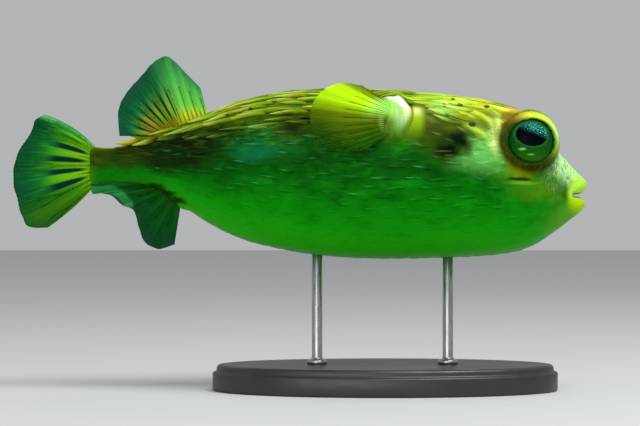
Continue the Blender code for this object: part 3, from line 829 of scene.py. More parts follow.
def spine_roots(random):
    """Where the spines stand, in staggered rings: rows of the form, and angles round it."""
    fine = np.linspace(FIRST_SPINE_ROW, len(FORM) - 1, FINE_ROWS)
    line = body_surface(fine, np.array([math.pi / 2]))[:, 0]
    lengths = np.append(0, np.cumsum(np.linalg.norm(np.diff(line, axis=0), axis=1)))
    rings = np.interp(np.arange(0, lengths[-1], SPINE_ROW_GAP), lengths, fine)
    full = np.linspace(-math.pi / 2, 1.5 * math.pi, FINE_TURNS)
    found = []
    for number, row in enumerate(rings):
        around = body_surface(np.array([row]), full)[0]
        gaps = SPINE_GAP[0] + (SPINE_GAP[1] - SPINE_GAP[0]) * smooth_step(0.3, 0.8, np.sin(full[1:]))
        girths = np.append(0, np.cumsum(np.linalg.norm(np.diff(around, axis=0), axis=1) / gaps))
        count = max(int(round(girths[-1])), 6)
        steps = (np.arange(count) + 0.25 + 0.5 * (number % 2) + random.uniform(-0.1, 0.1, count)) / count
        for angle in np.interp(steps * girths[-1], girths, full):
            found.append((row + random.uniform(-0.03, 0.03), angle))
    return np.array(found)


def spine_lie(rows, angles):
    """Each root's place, the way to the tail, up round the girth and outwards."""
    def at(rows, angles):
        return np.array([body_surface(np.array([r]), np.array([a]))[0, 0] for r, a in zip(rows, angles)])
    here = at(rows, angles)
    tailward = at(rows + 0.02, angles) - here
    tailward /= np.linalg.norm(tailward, axis=1, keepdims=True)
    upward = at(rows, angles + 0.01) - here
    upward *= np.where(np.cos(angles) > 0, 1, -1)[:, None]
    upward -= tailward * np.sum(upward * tailward, axis=1, keepdims=True)
    upward /= np.linalg.norm(upward, axis=1, keepdims=True)
    outward = np.cross(tailward, upward) * np.where(np.cos(angles) > 0, 1, -1)[:, None]
    return here, tailward, upward, outward


def spine_sizes(random, x, girth, back, head, tail):
    """Long blades on the back, short points on the flank and the belly, and the least on the tail stalk."""
    flank = smooth_step(-0.75, -0.1, girth)
    length = 4.2 + 3.6 * flank + 7.6 * back
    length *= 1 + 0.25 * bell(x, 28, 16) * smooth_step(0.1, 0.5, girth) - 0.25 * smooth_step(-60, -92, x)
    length *= random.uniform(0.7, 1.25, len(x))
    length = np.where((x < -80) & (girth > 0.6), length.clip(8.5, None), length) * (1 - 0.3 * tail)
    width = (0.5 + 0.25 * flank + 0.75 * back) * random.uniform(0.7, 1.2, len(x))
    width *= 1 - 0.15 * (flank - back).clip(0, 1)
    height = (0.13 + 0.21 * flank + 0.7 * back) * random.uniform(0.8, 1.1, len(x))
    height *= 1 - 0.3 * (head * smooth_step(0.45, 0.6, girth)) - 0.25 * head * smooth_step(0.15, 0.4, girth)
    height *= 1 - 0.5 * head * bell(girth, 0.32, 0.2)
    height *= 1 + 0.5 * smooth_step(-81, -88, x) * back
    return length, width, height * (1 - 0.5 * tail)


def grown_spines(here, girth, length):
    """Which spines grow: none on the eyes, snout, cheek, gill flap, fins' bases and thin end of the stalk."""
    x, off, z = on_left(here).T
    orbit = np.linalg.norm(on_left(here) - ORBIT, axis=1)
    lobe = np.linalg.norm((np.stack([x, z], axis=1) - (5.5, 101.5)) / (11.0, 9.5), axis=1)
    return ((x < 56) & (x > -92) & (orbit > 14.0) & ((lobe > 1) | (off <= 12)) & (length > 3.0)
            & ~((x > 44) & (np.abs(girth) < 0.35)) & ~((x < -64) & (off < 1.6))
            & ~((x > 37) & (girth > 0.3) & (girth < 0.62)) & ~((x > 28.5) & (girth > -0.1) & (girth < 0.3)))


def lay_spines():
    """A point at each spine's root, which says how the spine lies and how large it is."""
    random = np.random.default_rng(SPINE_SEED)
    rows, angles = spine_roots(random).T
    here, tailward, upward, outward = spine_lie(rows, angles)
    x, off, z = on_left(here).T
    top, bottom, level = smooth_rows(FORM, rows)[:, [2, 3, 5]].T
    girth = np.where(z > level, (z - level) / (top - level), (z - level) / (level - bottom))
    back, head = smooth_step(0.35, 0.72, girth), smooth_step(*HEAD_START, x)
    tail = smooth_step(-72, -92, x) * (1 - back)
    length, width, height = spine_sizes(random, x, girth, back, head, tail)
    before_flap = (np.abs(z - 100.5) < 8.0) & (x > 8) & (off > 12)
    room = x - 15.5 + random.uniform(-0.5, 2.0, len(x))
    length = np.where(before_flap, np.minimum(length, room), length)
    keep = grown_spines(here, girth, length)
    keep &= random.uniform(0, 1, len(x)) > 0.55 * (head * smooth_step(0.45, 0.6, girth))
    tilt = np.radians(24 * bell(x, 34, 18) * bell(girth, 0.45, 0.35) + random.uniform(-6, 6, len(x)))
    odds = random.uniform(0, 1, len(x)) * (1 - 0.35 * tail) + 0.3 * tail
    lie = tailward * np.cos(tilt)[:, None] + upward * np.sin(tilt)[:, None]
    lift = 2.4 * smooth_step(-83, -90, x) * back      # the last tips stand off the stalk
    ring = np.interp(rows, skin_rows(), np.linspace(0, 1, len(skin_rows())))
    turn = (angles + math.pi / 2) / (2 * math.pi)
    unwrap = np.stack([unwrap_place(ring), unwrap_place(turn), np.zeros_like(turn)], axis=1)
    size = np.stack([length, width, np.ones_like(width)], axis=1)
    data = bpy.data.meshes.new("spine_roots")
    data.from_pydata((here[keep] * MM).tolist(), [], [])
    set_vectors(data, lie=lie[keep], outward=outward[keep], size=size[keep] * MM, unwrap=unwrap[keep],
                root=here[keep] * MM)
    set_numbers(data, girth=girth[keep], height=height[keep] * MM, lift=lift[keep] * MM, odds=odds[keep])
    return add_object("spine_roots", data)


def geometry_tree(name, inputs, output, build, material):
    """A tree with named inputs, whose one mesh is built from them and then gets its material."""
    group = bpy.data.node_groups.new(name, "GeometryNodeTree")
    for given, kind in inputs.items():
        group.interface.new_socket(given, in_out='INPUT', socket_type=kind)
    group.interface.new_socket(output, in_out='OUTPUT', socket_type="NodeSocketGeometry")
    t = Tree(group)
    sockets = group.nodes.new("NodeGroupInput").outputs
    mesh = build(t, {socket.name: Value(t, socket) for socket in sockets if socket.name})
    mesh = t.add("GeometryNodeSetMaterial", None, {"Geometry": mesh, "Material": material})
    mesh = t.add("GeometryNodeSetShadeSmooth", None, {"Geometry": mesh})
    t.put(group.nodes.new("NodeGroupOutput").inputs[output], mesh)
    return group


def named(t, name, kind='FLOAT'):
    """An attribute of the mesh that a geometry tree works on."""
    return t.add("GeometryNodeInputNamedAttribute", {"data_type": kind}, {"Name": name}, "Attribute")


def scaled(t, vector, share):
    return t.add("ShaderNodeVectorMath", {"operation": 'SCALE'}, {0: vector, "Scale": share})


def laid_spines(t, given):
    """Puts a spine on each root, lays it along the skin and gives it its patch of the unwrap."""
    lie, outward, size, unwrap, along = (named(t, name, 'FLOAT_VECTOR')
                                         for name in ("lie", "outward", "size", "unwrap", "along"))
    spine = t.add("GeometryNodeObjectInfo", None, {"Object": given["Spine"]}, "Geometry")
    turn = t.add("FunctionNodeAxesToRotation", {"primary_axis": 'X', "secondary_axis": 'Z'},
                 {"Primary Axis": lie, "Secondary Axis": outward})
    laid = t.add("GeometryNodeInstanceOnPoints", None,
                 {"Points": given["Roots"], "Instance": spine, "Rotation": turn, "Scale": size})
    real = t.add("GeometryNodeRealizeInstances", None, {"Geometry": laid})
    here = t.add("GeometryNodeInputPosition")
    skin_mesh = t.add("GeometryNodeObjectInfo", None, {"Object": given["Skin"]}, "Geometry")
    nearest = t.add("GeometryNodeProximity", {"target_element": 'FACES'}, {0: skin_mesh}, "Position")
    normal = t.add("GeometryNodeInputNormal")
    away_from_skin = t.add("GeometryNodeSampleNearestSurface", {"data_type": 'FLOAT_VECTOR'},
                           {"Mesh": skin_mesh, "Value": normal, "Sample Position": here}, "Value")
    length_share = t.parts(along)[0]
    rise = named(t, "rise") * named(t, "height") + length_share * length_share * named(t, "lift")
    raised = nearest + scaled(t, away_from_skin, rise)
    conformed = t.add("GeometryNodeSetPosition", None, {"Geometry": real, "Position": raised})
    patch = unwrap + scaled(t, along, given["Patch"])
    return t.add("GeometryNodeStoreNamedAttribute", {"data_type": 'FLOAT2', "domain": 'CORNER'},
                 {"Geometry": conformed, "Name": UNWRAP, "Value": patch})


def made_by(host, group, inputs):
    """Runs a geometry tree on an object and keeps the result as a plain mesh on a new object."""
    modifier = host.modifiers.new("build", 'NODES')
    modifier.node_group = group
    for item in group.interface.items_tree:
        if item.in_out == 'INPUT' and item.name in inputs:
            modifier[item.identifier] = inputs[item.name]
    graph = bpy.context.evaluated_depsgraph_get()
    data = bpy.data.meshes.new_from_object(host.evaluated_get(graph))
    host.modifiers.remove(modifier)
    bpy.data.objects.remove(host)
    return data


def spine_material():
    """Spines in the skin's colours, yellow-green over the back, with paler tips; on the back a painted
    highlight runs along each crest and painted shade along its edges.
    """
    material, t = new_material("spine_sheath")
    root = t.read("root", "Vector") * (1 / MM)
    root_x = t.parts(root)[0]
    girth, odds = t.read("girth"), t.read("odds")
    along, across, _ = t.parts(t.read("along", "Vector"))
    back = t.step(girth, 0.35, 0.75)
    nape, _ = nape_folds(t, root, girth)
    rust = t.step(t.noise(root, 16.0, 2.0), 0.5, 0.66) * t.step(girth, 0.55, 0.9)
    nape_sheath = t.mix(odds, (150, 172, 16), (208, 238, 66))
    sheath = t.coats(t.mix(odds, (72, 122, 6), (150, 200, 24)), (rust * 0.7, (150, 110, 22)),
                     (t.step(root_x, -74.0, -86.0) * 0.8, (198, 196, 8)), (nape * 0.85, nape_sheath))
    edge, crest = t.step(abs(across), 0.3, 0.9), t.step(abs(across), 0.3, 0.0)
    tip = t.step(along, 0.25, 0.8)
    yellow = (back + t.step(root_x, 12.0, 18.0) * t.step(girth, 0.15, 0.35)).maths('MINIMUM', 1.0)
    green_tip = t.mix(t.step(girth, 0.1, -0.5), (64, 166, 96), (32, 152, 58))
    colour = t.coats(
        ground_colour(t, root, girth),
        (back * 0.75, sheath),
        (back * t.step(along, 0.3, 0.05) * 0.6, (120, 96, 14)),          # brown at the root
        # painted shade along the back spines' edges, and a painted highlight along their crests
        (edge * back * (0.6 - 0.4 * nape), (26, 44, 5)),
        (crest * back * t.step(along, 0.2, 0.8) * 0.5, (206, 222, 70)),
        (tip * (0.05 + (0.48 + 0.14 * back) * odds * odds), t.mix(yellow, green_tip, (206, 222, 104))))
    colour = with_dark_marks_and_shade(t, t.place(), colour, 1 - tip * odds * 0.8)
    return finish_with(material, t, {"Base Color": colour, "Roughness": 0.36, **WET_GLOSS,
                                     "Normal": t.bump(t.noise(t.place(), 0.5, 3.0), 0.2)})


spine = spine_template()
spine_layer = geometry_tree(
    "lay_spines", {"Roots": "NodeSocketGeometry", "Spine": "NodeSocketObject", "Skin": "NodeSocketObject",
                   "Patch": "NodeSocketFloat"}, "Spines", laid_spines, spine_material())
spines_data = made_by(lay_spines(), spine_layer, {"Spine": spine, "Skin": skin, "Patch": SPINE_PATCH})
bpy.data.objects.remove(spine)
spines = add_object("spines", spines_data)
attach(spines, "root")
skin.data.materials.append(skin_material())

# ---- eyes --------------------------------------------------------------------------------------
EYE_RINGS, EYE_COLUMNS = 48, 72
EYE_POLE = 0.02            # radians from the middle of its front, and of its back, to the first ring
CORNEA = 0.35              # how far the clear front bulges
PUPIL_MIDDLE, PUPIL_RADII = (-0.4, 2.1), (6.0, 4.5)
EYE_HIGHLIGHTS = [((-4.2, -3.3), (1.3, 0.5), 0.7), ((-1.0, -5.3), (1.5, 0.35), 0.45)]   # painted highlights low in it


def eye_material():
    """A green iris with flecks and painted highlights low in it, and a dark oval pupil that is lit blue-green
    from above.
    """
    material, t = new_material("eye")
    where = t.read("face", "Vector")
    across, lift, _ = t.parts(where)

    def oval(middle, radii):
        """How far out a place is from the middle of an oval on the eye's face, in its radii."""
        return t.length((where - (*middle, 0.0)) / (*radii, 1.0))

    ring, pupil = t.length(where / (*EYE_OPENING, 1.0)), oval(PUPIL_MIDDLE, PUPIL_RADII)
    flecks, glints = t.noise(where, 0.55, 3.0), t.noise(where, 0.5, 3.0)
    iris = t.coats(
        t.ramp(lift, [(-7.5, (44, 104, 10)), (-4.0, (14, 86, 8)), (1.0, (6, 56, 12)), (7.0, (6, 64, 28))]),
        (t.step(flecks, 0.5, 0.75) * 0.5, (70, 134, 40)),
        (t.step(ring, 0.84, 1.02) * t.step(across, 5.0, -4.0, 0.35, 0.85), (8, 34, 6)),
        (t.within(pupil, 0.88, 1.0, 1.04, 1.22) * 0.5, (40, 112, 50)))
    lit = t.step(lift + across * 0.36, 1.7, 4.8)
    centre = t.coats(
        (2, 7, 11), (lit * 0.6, (4, 62, 66)),
        (lit * t.step(across, -6.0, 1.0) * t.step(glints, 0.48, 0.66) * 0.9, (80, 232, 200)))
    colour = t.coats(t.mix(t.step(pupil, 1.03, 0.95), iris, centre),
                     *((t.step(oval(middle, radii), 1.3, 0.5) * strength, (150, 220, 110))
                       for middle, radii, strength in EYE_HIGHLIGHTS))
    return finish_with(material, t, {"Base Color": colour, "Roughness": 0.3, "Specular IOR Level": 0.01,
                                     "Coat Weight": 0.02, "Coat Roughness": 0.05})


def build_eye(name, side, material):
    """An eyeball a little flattened along its line of sight, with a bulging clear front."""
    sight, ahead, lift = sight_axes(side)
    middle = node_middle(f"eye_{name}")
    theta = np.linspace(EYE_POLE, math.pi - EYE_POLE, EYE_RINGS)[:, None]
    phi = -np.arange(EYE_COLUMNS)[None, :] * 2 * math.pi / EYE_COLUMNS * side
    depth = EYE_DEPTH * np.cos(theta) + CORNEA * smooth_step(0.9, 0.3, theta)
    flat_ahead = EYE_RADIUS * np.sin(theta) * np.cos(phi)
    flat_lift = EYE_RADIUS * np.sin(theta) * np.sin(phi)
    points = middle + sight * depth[..., None] + ahead * flat_ahead[..., None] + lift * flat_lift[..., None]
    data = mesh_from(f"eyeball_{name}", points, grid_faces(EYE_RINGS, EYE_COLUMNS))
    set_vectors(data, face=np.stack([flat_ahead, flat_lift, np.zeros_like(flat_lift)], axis=-1))
    data.materials.append(material)
    eyeball = add_object(f"eyeball_{name}", data)
    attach(eyeball, "root")
    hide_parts(f"eye_{name}")


eye_finish = eye_material()
for name, side in SIDES.items():
    build_eye(name, side, eye_finish)

# ---- fins --------------------------------------------------------------------------------------
# Root and margin from the first ray to the last, how far the first and last rays arch, the rays' number or
# places in the fan, and between which of them, and how far out, the web is thin and dark
FIN_DEFAULTS = dict(bow=(0, 0), branches=2, slits=(2, 3), slit_reach=(0, 0), slit_width=(0.62, 0.86))
FIN_PLANS = {
    "caudal_fin": dict(
        root=[(-109.8, 0, 92.0), (-109.6, 0, 85.6), (-109.8, 0, 79.6)],
        margin=[(-130.5, 0.6, 105.6), (-134.0, 0.9, 103.4), (-136.0, 1.2, 98.4), (-139.3, 1.4, 93.5),
                (-141.6, 1.5, 88.8), (-142.6, 1.6, 84.2), (-142.5, 1.5, 79.2), (-141.2, 1.2, 73.6),
                (-139.6, 0.9, 67.6), (-136.6, 0.5, 62.6), (-129.4, 0.2, 62.0)],
        bow=(-1.8, 0.9), rays=[0.04, 0.11, 0.18, 0.32, 0.48, 0.63, 0.79, 0.88, 0.96], branches=3,
        slits=(0.22, 0.74), slit_reach=(0.08, 0.74), slit_width=(0.5, 0.72), ray_radius=0.4, pleat=0.28),
    "dorsal_fin": dict(
        root=[(-67.7, 0, 104.8), (-78.0, 0, 100.8), (-87.6, 0, 97.2)],
        margin=[(-70.7, -0.2, 115.8), (-75.8, -0.4, 121.0), (-80.4, -0.6, 125.8), (-84.0, -0.5, 127.9),
                (-88.8, -0.2, 125.4), (-94.2, 0.3, 119.4), (-99.0, 0.8, 114.0), (-102.2, 1.0, 107.2),
                (-101.8, 0.6, 97.3)],
        rays=14, slits=(0.5, 0.98), slit_reach=(0.06, 0.7), ray_radius=0.27, pleat=0.2),
    "anal_fin": dict(
        root=[(-78.0, 0, 72.0), (-84.8, 0, 76.8), (-91.6, 0, 79.8)],
        margin=[(-80.6, 0.2, 55.6), (-86.6, 0.3, 54.0), (-91.8, -0.2, 56.4), (-94.2, -1.0, 62.2),
                (-96.0, -2.4, 68.6), (-100.2, -4.0, 70.8), (-104.2, -4.8, 74.3), (-108.0, -4.6, 75.2),
                (-111.6, -4.4, 75.3), (-112.2, -4.4, 78.9)],
        rays=13, ray_radius=0.26, pleat=0.28,
        # the edge that the fin curls over, painted pale as a highlight
        highlit_edge=[(-111.6, 76.4), (-108.0, 76.4), (-104.4, 76.7), (-101.4, 75.2), (-99.2, 73.0),
                   (-97.6, 70.8)]),
    "pectoral_fin": dict(
        root=[(0.6, 23.6, 108.8), (0.2, 26.9, 102.6), (0.6, 28.6, 96.4)],
        margin=[(-9.4, 23.6, 115.2), (-16.6, 25.8, 116.0), (-22.6, 28.2, 114.0), (-27.0, 30.4, 109.6),
                (-28.8, 31.6, 103.6), (-27.8, 32.0, 97.4), (-23.6, 31.6, 92.6), (-17.0, 30.6, 90.2),
                (-9.2, 29.8, 90.6)],
        rays=21, ray_radius=0.22, pleat=0.14),
}
FINS = {name: FIN_DEFAULTS | plan for name, plan in FIN_PLANS.items()}
PAIRED_FIN = "pectoral_fin"
WEB_COLUMNS, WEB_ROWS = 168, 40
WEB_THICKNESS = 0.22
WEB_FOOT = -0.03           # how far inside the body a web starts, as a share of its reach
RAY_SIDES, RAY_PLACES = 6, 30
RAY_REACH = (-0.02, 0.975)
RAY_TAPER = 0.78           # how much thinner a ray's end is than its foot
# Where along its reach a ray first parts and how much further out each time after, how long it takes,
# and how far it parts, as a share of the gap to the next ray
BRANCH_START, BRANCH_STEP, BRANCH_LENGTH, BRANCH_SPREAD = 0.38, 0.2, 0.34, 0.24


def fin_place(fin, fan, reach, side=1):
    """Points of a fin's middle sheet: fan runs from the first ray to the last, reach out to the margin."""
    root, margin = (np.array(fin[key], float) * (1, side, 1) for key in ("root", "margin"))
    foot, tip = smooth_rows(root, fan * (len(root) - 1)), smooth_rows(margin, fan * (len(margin) - 1))
    ray = tip - foot
    across = np.stack([-ray[..., 2], np.zeros_like(fan), ray[..., 0]], axis=-1)
    across /= np.linalg.norm(across, axis=-1, keepdims=True)
    arch = np.where(reach > 0, 4 * reach * (1 - reach), 0)
    bow = fin["bow"][0] + (fin["bow"][1] - fin["bow"][0]) * fan
    return foot + ray * reach[..., None] + across * (bow * arch)[..., None]


def ray_fans(fin):
    """Where each ray lies across the fan."""
    rays = fin["rays"]
    return np.array(rays) if isinstance(rays, list) else (np.arange(rays) + 0.5) / rays


def ray_count(fin, fan):
    """How many rays lie before each place in the fan, a half on each ray."""
    fans = ray_fans(fin)
    ends = np.concatenate([[2 * fans[0] - fans[1]], fans, [2 * fans[-1] - fans[-2]]])
    return np.interp(fan, ends, np.arange(len(ends)) - 0.5)


def fin_pleat(fin, fan, reach):
    """How far the web waves to either side between its rays."""
    return fin["pleat"] * np.sin(ray_count(fin, fan) * math.pi) * smooth_step(0.0, 0.4, reach)


def scalloped(fin, fan, reach):
    """The reach cut back by small scallops between the rays, with finer and broader waves over them."""
    count = ray_count(fin, fan)
    notch = (0.005 * np.cos(count * math.pi) ** 2 + 0.004 * np.sin(count * 5.3 * math.pi) ** 2
             + 0.003 * np.sin(fan * 23 + 1) ** 2)
    return reach * (1 - notch * smooth_step(0.6, 1.0, reach))


def edge_highlight(points, fin):
    """How near each point is, from 0 to 1, to the edge that a fin curls over, which is painted pale as a
    highlight.
    """
    gap, _ = path_distance(points[..., [0, 2]], fin["highlit_edge"])
    return smooth_step(2.1, 1.0, gap)


def build_web(name, fin, side, material):
    """The skin between the rays: a thin closed sheet with a scalloped margin."""
    fan, reach = np.linspace(0, 1, WEB_COLUMNS), np.linspace(WEB_FOOT, 1, WEB_ROWS)
    fan, reach = np.meshgrid(fan, reach, indexing="ij")
    shown = scalloped(fin, fan, reach)
    points = fin_place(fin, fan, shown, side)
    root_line, middle_ray = points[[0, -1], 0], points[WEB_COLUMNS // 2, [0, -1]]
    normal = np.cross(root_line[1] - root_line[0], middle_ray[1] - middle_ray[0])
    normal = np.broadcast_to(normal / np.linalg.norm(normal), points.shape)
    points = points + normal * fin_pleat(fin, fan, reach)[..., None]
    thin = normal * WEB_THICKNESS / 2
    # one closed band: down one face and back up the other
    points = np.concatenate([points + thin, (points - thin)[:, ::-1]], axis=1)
    fan = np.concatenate([fan, fan[:, ::-1]], axis=1)
    reach = np.concatenate([shown, shown[:, ::-1]], axis=1)
    data = mesh_from(f"{name}_web", points, sheet_faces(*points.shape[:2]))
    count = ray_count(fin, fan)
    set_numbers(data, fan=fan, reach=reach, between=1 - np.abs(count - np.round(count)) * 2)
    if "highlit_edge" in fin:
        set_numbers(data, pale=edge_highlight(points, fin))
    data.materials.append(material)
    web = add_object(f"{name}_web", data)
    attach(web, "root")
    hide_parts(name)


def ray_lines(fin, side):
    """The rays' middle lines, each branching towards the margin, as an edge mesh."""
    points, edges, thick, fans, reaches = [], [], [], [], []
    for fan_middle, step in zip(ray_fans(fin), np.gradient(ray_fans(fin))):
        for branch in range(2 ** fin["branches"]):
            reach = np.linspace(*RAY_REACH, RAY_PLACES)
            fan = np.full_like(reach, fan_middle)
            for level in range(fin["branches"]):
                direction = 1 if (branch >> level) & 1 else -1
                start = BRANCH_START + BRANCH_STEP * level
                parted = smooth_step(start, start + BRANCH_LENGTH, reach)
                fan += direction * step * BRANCH_SPREAD / 2 ** level * parted
            first = len(points)
            points += fin_place(fin, fan, reach, side).tolist()
            edges += [(first + k, first + k + 1) for k in range(len(reach) - 1)]
            thick += (fin["ray_radius"] * (1.0 - RAY_TAPER * smooth_step(0.1, 0.95, reach))).tolist()
            fans += fan.tolist()
            reaches += reach.tolist()
    data = bpy.data.meshes.new("ray_lines")
    data.from_pydata((np.array(points) * MM).tolist(), edges, [])
    set_numbers(data, thick=np.array(thick) * MM, fan=fans, reach=reaches)
    if "highlit_edge" in fin:
        set_numbers(data, pale=edge_highlight(np.array(points), fin))
    return add_object("ray_lines", data)


def drawn_rays(t, given):
    """A round ray along each line, as thick as the line says."""
    lines = t.add("GeometryNodeMeshToCurve", None, {"Mesh": given["Lines"]})
    ring = t.add("GeometryNodeCurvePrimitiveCircle", {"mode": 'RADIUS'},
                 {"Resolution": given["Sides"], "Radius": 1.0})
    tubes = t.add("GeometryNodeCurveToMesh", None,
                  {"Curve": lines, "Profile Curve": ring, "Scale": named(t, "thick"), "Fill Caps": True})
    return t.add("GeometryNodeRealizeInstances", None, {"Geometry": tubes})


def build_rays(name, fin, side, material):
    """The rays themselves, drawn along their branching lines."""
    sockets = {"Lines": "NodeSocketGeometry", "Sides": "NodeSocketInt"}
    ray_drawer = geometry_tree("draw_rays", sockets, "Rays", drawn_rays, material)
    data = made_by(ray_lines(fin, side), ray_drawer, {"Sides": RAY_SIDES})
    rays = add_object(f"{name}_rays", data)
    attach(rays, "root")


def caudal_colours(t, fan, reach):
    web = t.ramp(reach, [(0.0, (114, 174, 10)), (0.16, (90, 166, 14)), (0.32, (28, 126, 16)),
                         (0.6, (12, 112, 32)), (0.85, (2, 78, 36)), (1.0, (3, 66, 36))])
    ray = t.ramp(reach, [(0.0, (128, 148, 6)), (0.15, (132, 188, 8)), (0.55, (84, 172, 18)),
                         (0.85, (14, 104, 42)), (1.0, (6, 84, 44))])
    low, crown = t.step(fan, 0.7, 0.78), t.step(fan, 0.09, 0.02)
    olive = (t.within(fan, 0.78, 0.86, 0.93, 1.0) * t.step(reach, 0.1, 0.25) * t.step(reach, 1.05, 0.8)
             * 0.5, (60, 110, 8))
    return (t.coats(web, (low * t.step(reach, 0.3, 0.5) * 0.7, (16, 88, 12)), olive, (crown, (50, 166, 82))),
            t.coats(ray, (low * t.step(reach, 0.0, 0.4) * 0.8, (30, 108, 12)), olive,
                    (crown, (120, 222, 118))))


def dorsal_colours(t, fan, reach):
    front = t.ramp(reach, [(0.0, (214, 190, 6)), (0.14, (188, 222, 20)), (0.3, (96, 204, 66)),
                           (0.7, (66, 172, 70)), (1.0, (28, 116, 60))])
    rear = t.ramp(reach, [(0.0, (140, 110, 10)), (0.25, (30, 100, 30)), (0.6, (5, 90, 48)),
                          (1.0, (3, 70, 50))])
    front_ray = t.ramp(reach, [(0.0, (200, 176, 8)), (0.25, (128, 204, 92)), (1.0, (72, 160, 92))])
    rear_ray = t.ramp(reach, [(0.0, (150, 130, 8)), (0.3, (140, 164, 16)), (0.7, (30, 124, 44)),
                              (1.0, (14, 84, 56))])
    late = t.step(fan, 0.35, 0.6)
    rust = t.within(fan, 0.74, 0.8, 0.9, 0.97) * t.step(reach, 0.14, 0.24) * t.step(reach, 0.5, 0.36) * 0.6
    return (t.mix(rust, t.mix(late, *pair), (158, 122, 30))
            for pair in ((front, rear), (front_ray, rear_ray)))


def anal_colours(t, fan, reach):
    # darkest at the root, as painted shade of the groove where the fin meets the body
    web = t.ramp(reach, [(0.0, (14, 44, 6)), (0.14, (16, 78, 10)), (0.4, (7, 72, 18)), (1.0, (4, 58, 30))])
    ray = t.mix(0.14, web, (40, 134, 50))
    # the curled-over edge painted pale as a highlight
    return (t.mix(t.read("pale"), part, (36, 124, 60)) for part in (web, ray))


def pectoral_colours(t, fan, reach):
    # yellow on top and dark olive low down, the lower part's darkness painted shade
    web = t.ramp(fan, [(0.0, (96, 108, 8)), (0.08, (124, 142, 8)), (0.15, (170, 214, 12)),
                       (0.21, (196, 250, 16)), (0.34, (170, 220, 8)), (0.46, (98, 120, 2)),
                       (0.65, (60, 86, 2)), (0.85, (26, 82, 4)), (1.0, (12, 80, 6))])
    crease = t.within(reach, 0.03, 0.09, 0.09, 0.15) * t.step(fan, 0.2, 0.5) * t.step(fan, 0.95, 0.6)
    web = t.coats(
        web, (t.step(reach, 0.42, 0.05) * t.step(fan, 0.6, 0.2), (170, 240, 110)),
        # painted shade near the root of the lower half
        (t.step(reach, 0.26, 0.1) * t.step(fan, 0.2, 0.55) * 0.55, (72, 104, 8)),
        (crease * 0.35, (170, 212, 92)),
        (t.step(fan, 0.36, 0.66) * t.step(reach, 0.5, 1.0) * 0.8, (16, 70, 8)))      # the faint lower edge
    return web, t.mix(0.1, web, (130, 180, 20))


FIN_COLOURS = {"caudal_fin": caudal_colours, "dorsal_fin": dorsal_colours, "anal_fin": anal_colours,
               "pectoral_fin": pectoral_colours}
# How clear each web is at its margin, and the least that any web covers
FIN_CLEARNESS = {"caudal_fin": 0.03, "dorsal_fin": 0.06, "anal_fin": 0.06, "pectoral_fin": 0.12}
LEAST_COVER = 0.12


def web_slits(t, fin, fan, reach, between):
    """Where the web is thin and dark between the rays, tapering to the root and the margin."""
    (low, high), (inner, outer) = fin["slits"], fin["slit_reach"]
    from_middle = (reach - 0.42) * 2.2
    tapered = between - from_middle * from_middle * 0.3
    return (t.step(tapered, *fin["slit_width"]) * t.step(fan, low - 0.04, low)
            * t.step(fan, high + 0.04, high) * t.step(reach, inner, inner + 0.15)
            * t.step(reach, outer, outer - 0.25))


def web_material(name, fin):
    """A web striped by its rays, clearer and frayed towards its margin."""
    material, t = new_material(f"{name}_web")
    fan, reach, between = t.read("fan"), t.read("reach"), t.read("between")
    web, ray = FIN_COLOURS[name](t, fan, reach)
    stripe = t.step(between, 0.72, 0.3) * t.step(reach, 0.8, 0.4)
    if name == "dorsal_fin":
        shown = (t.step(fan, 0.3, 0.5) + t.step(reach, 0.3, 0.12)).maths('MINIMUM', 1.0)
        stripe = stripe * (0.3 + 0.7 * shown)
    streaks = t.noise(t.vector(fan * len(ray_fans(fin)) * 9, reach * 6, 0.0), 1.6, 2.0)
    slit = web_slits(t, fin, fan, reach, between)
    colour = t.coats(web, (stripe * 0.8, ray),
                     (t.step(streaks, 0.45, 0.7) * t.step(reach, 0.1, 0.5) * 0.5, ray), (slit, (2, 38, 36)))
    fray = t.step(streaks, 0.65, 0.4) * t.step(reach, 0.75, 1.0)
    clear = t.step(reach, 0.3, 1.0) * FIN_CLEARNESS[name] + slit * 0.06 + fray * 0.12
    if name == PAIRED_FIN:
        clear = (clear + t.step(fan, 0.5, 0.85) * t.step(reach, 0.35, 1.0) * 0.2
                 + t.step(fan, 0.38, 0.66) * t.step(reach, 0.6, 1.0) * 0.55)
    return finish_with(material, t, {"Base Color": colour, "Roughness": 0.4, **WET_GLOSS,
                                     "Alpha": (1 - clear).maths('MAXIMUM', LEAST_COVER),
                                     "Normal": t.bump(streaks, 0.15)})


def ray_material(name, fin):
    """The rays' own colours, with faint joints along them."""
    material, t = new_material(f"{name}_rays")
    fan, reach = t.read("fan"), t.read("reach")
    _, ray = FIN_COLOURS[name](t, fan, reach)
    joints = t.noise(t.vector(fan * len(ray_fans(fin)) * 2, reach * 60, 0.0), 1.0, 1.0)
    colour = t.mix(t.step(joints, 0.45, 0.6) * 0.3, ray, (60, 110, 20))
    return finish_with(material, t, {"Base Color": colour, "Roughness": 0.4, **WET_GLOSS,
                                     "Normal": t.bump(joints, 0.1)})


for name, fin in FINS.items():
    web_finish, ray_finish = web_material(name, fin), ray_material(name, fin)
    pieces = {name: 1}
    if name == PAIRED_FIN:
        pieces = {f"{name}_{which}": side for which, side in SIDES.items()}
    for piece, side in pieces.items():
        build_web(piece, fin, side, web_finish)
        build_rays(piece, fin, side, ray_finish)

# ---- stand -------------------------------------------------------------------------------------
# The base's edge from its underside up: how far in from the outline, and how high
BASE_EDGE = [(8.0, 0.0), (1.0, 0.0), (0.3, 0.25), (0.0, 0.9), (0.0, 3.4), (0.0, 6.6), (0.25, 7.1),
             (0.9, 7.3), (1.3, 7.5), (1.5, 8.0), (1.6, 8.8), (1.9, 9.5), (2.5, 9.9), (3.3, 10.0),
             (4.5, 10.0), (16.0, 10.0)]
BASE_COLUMNS, ROD_COLUMNS = 144, 40
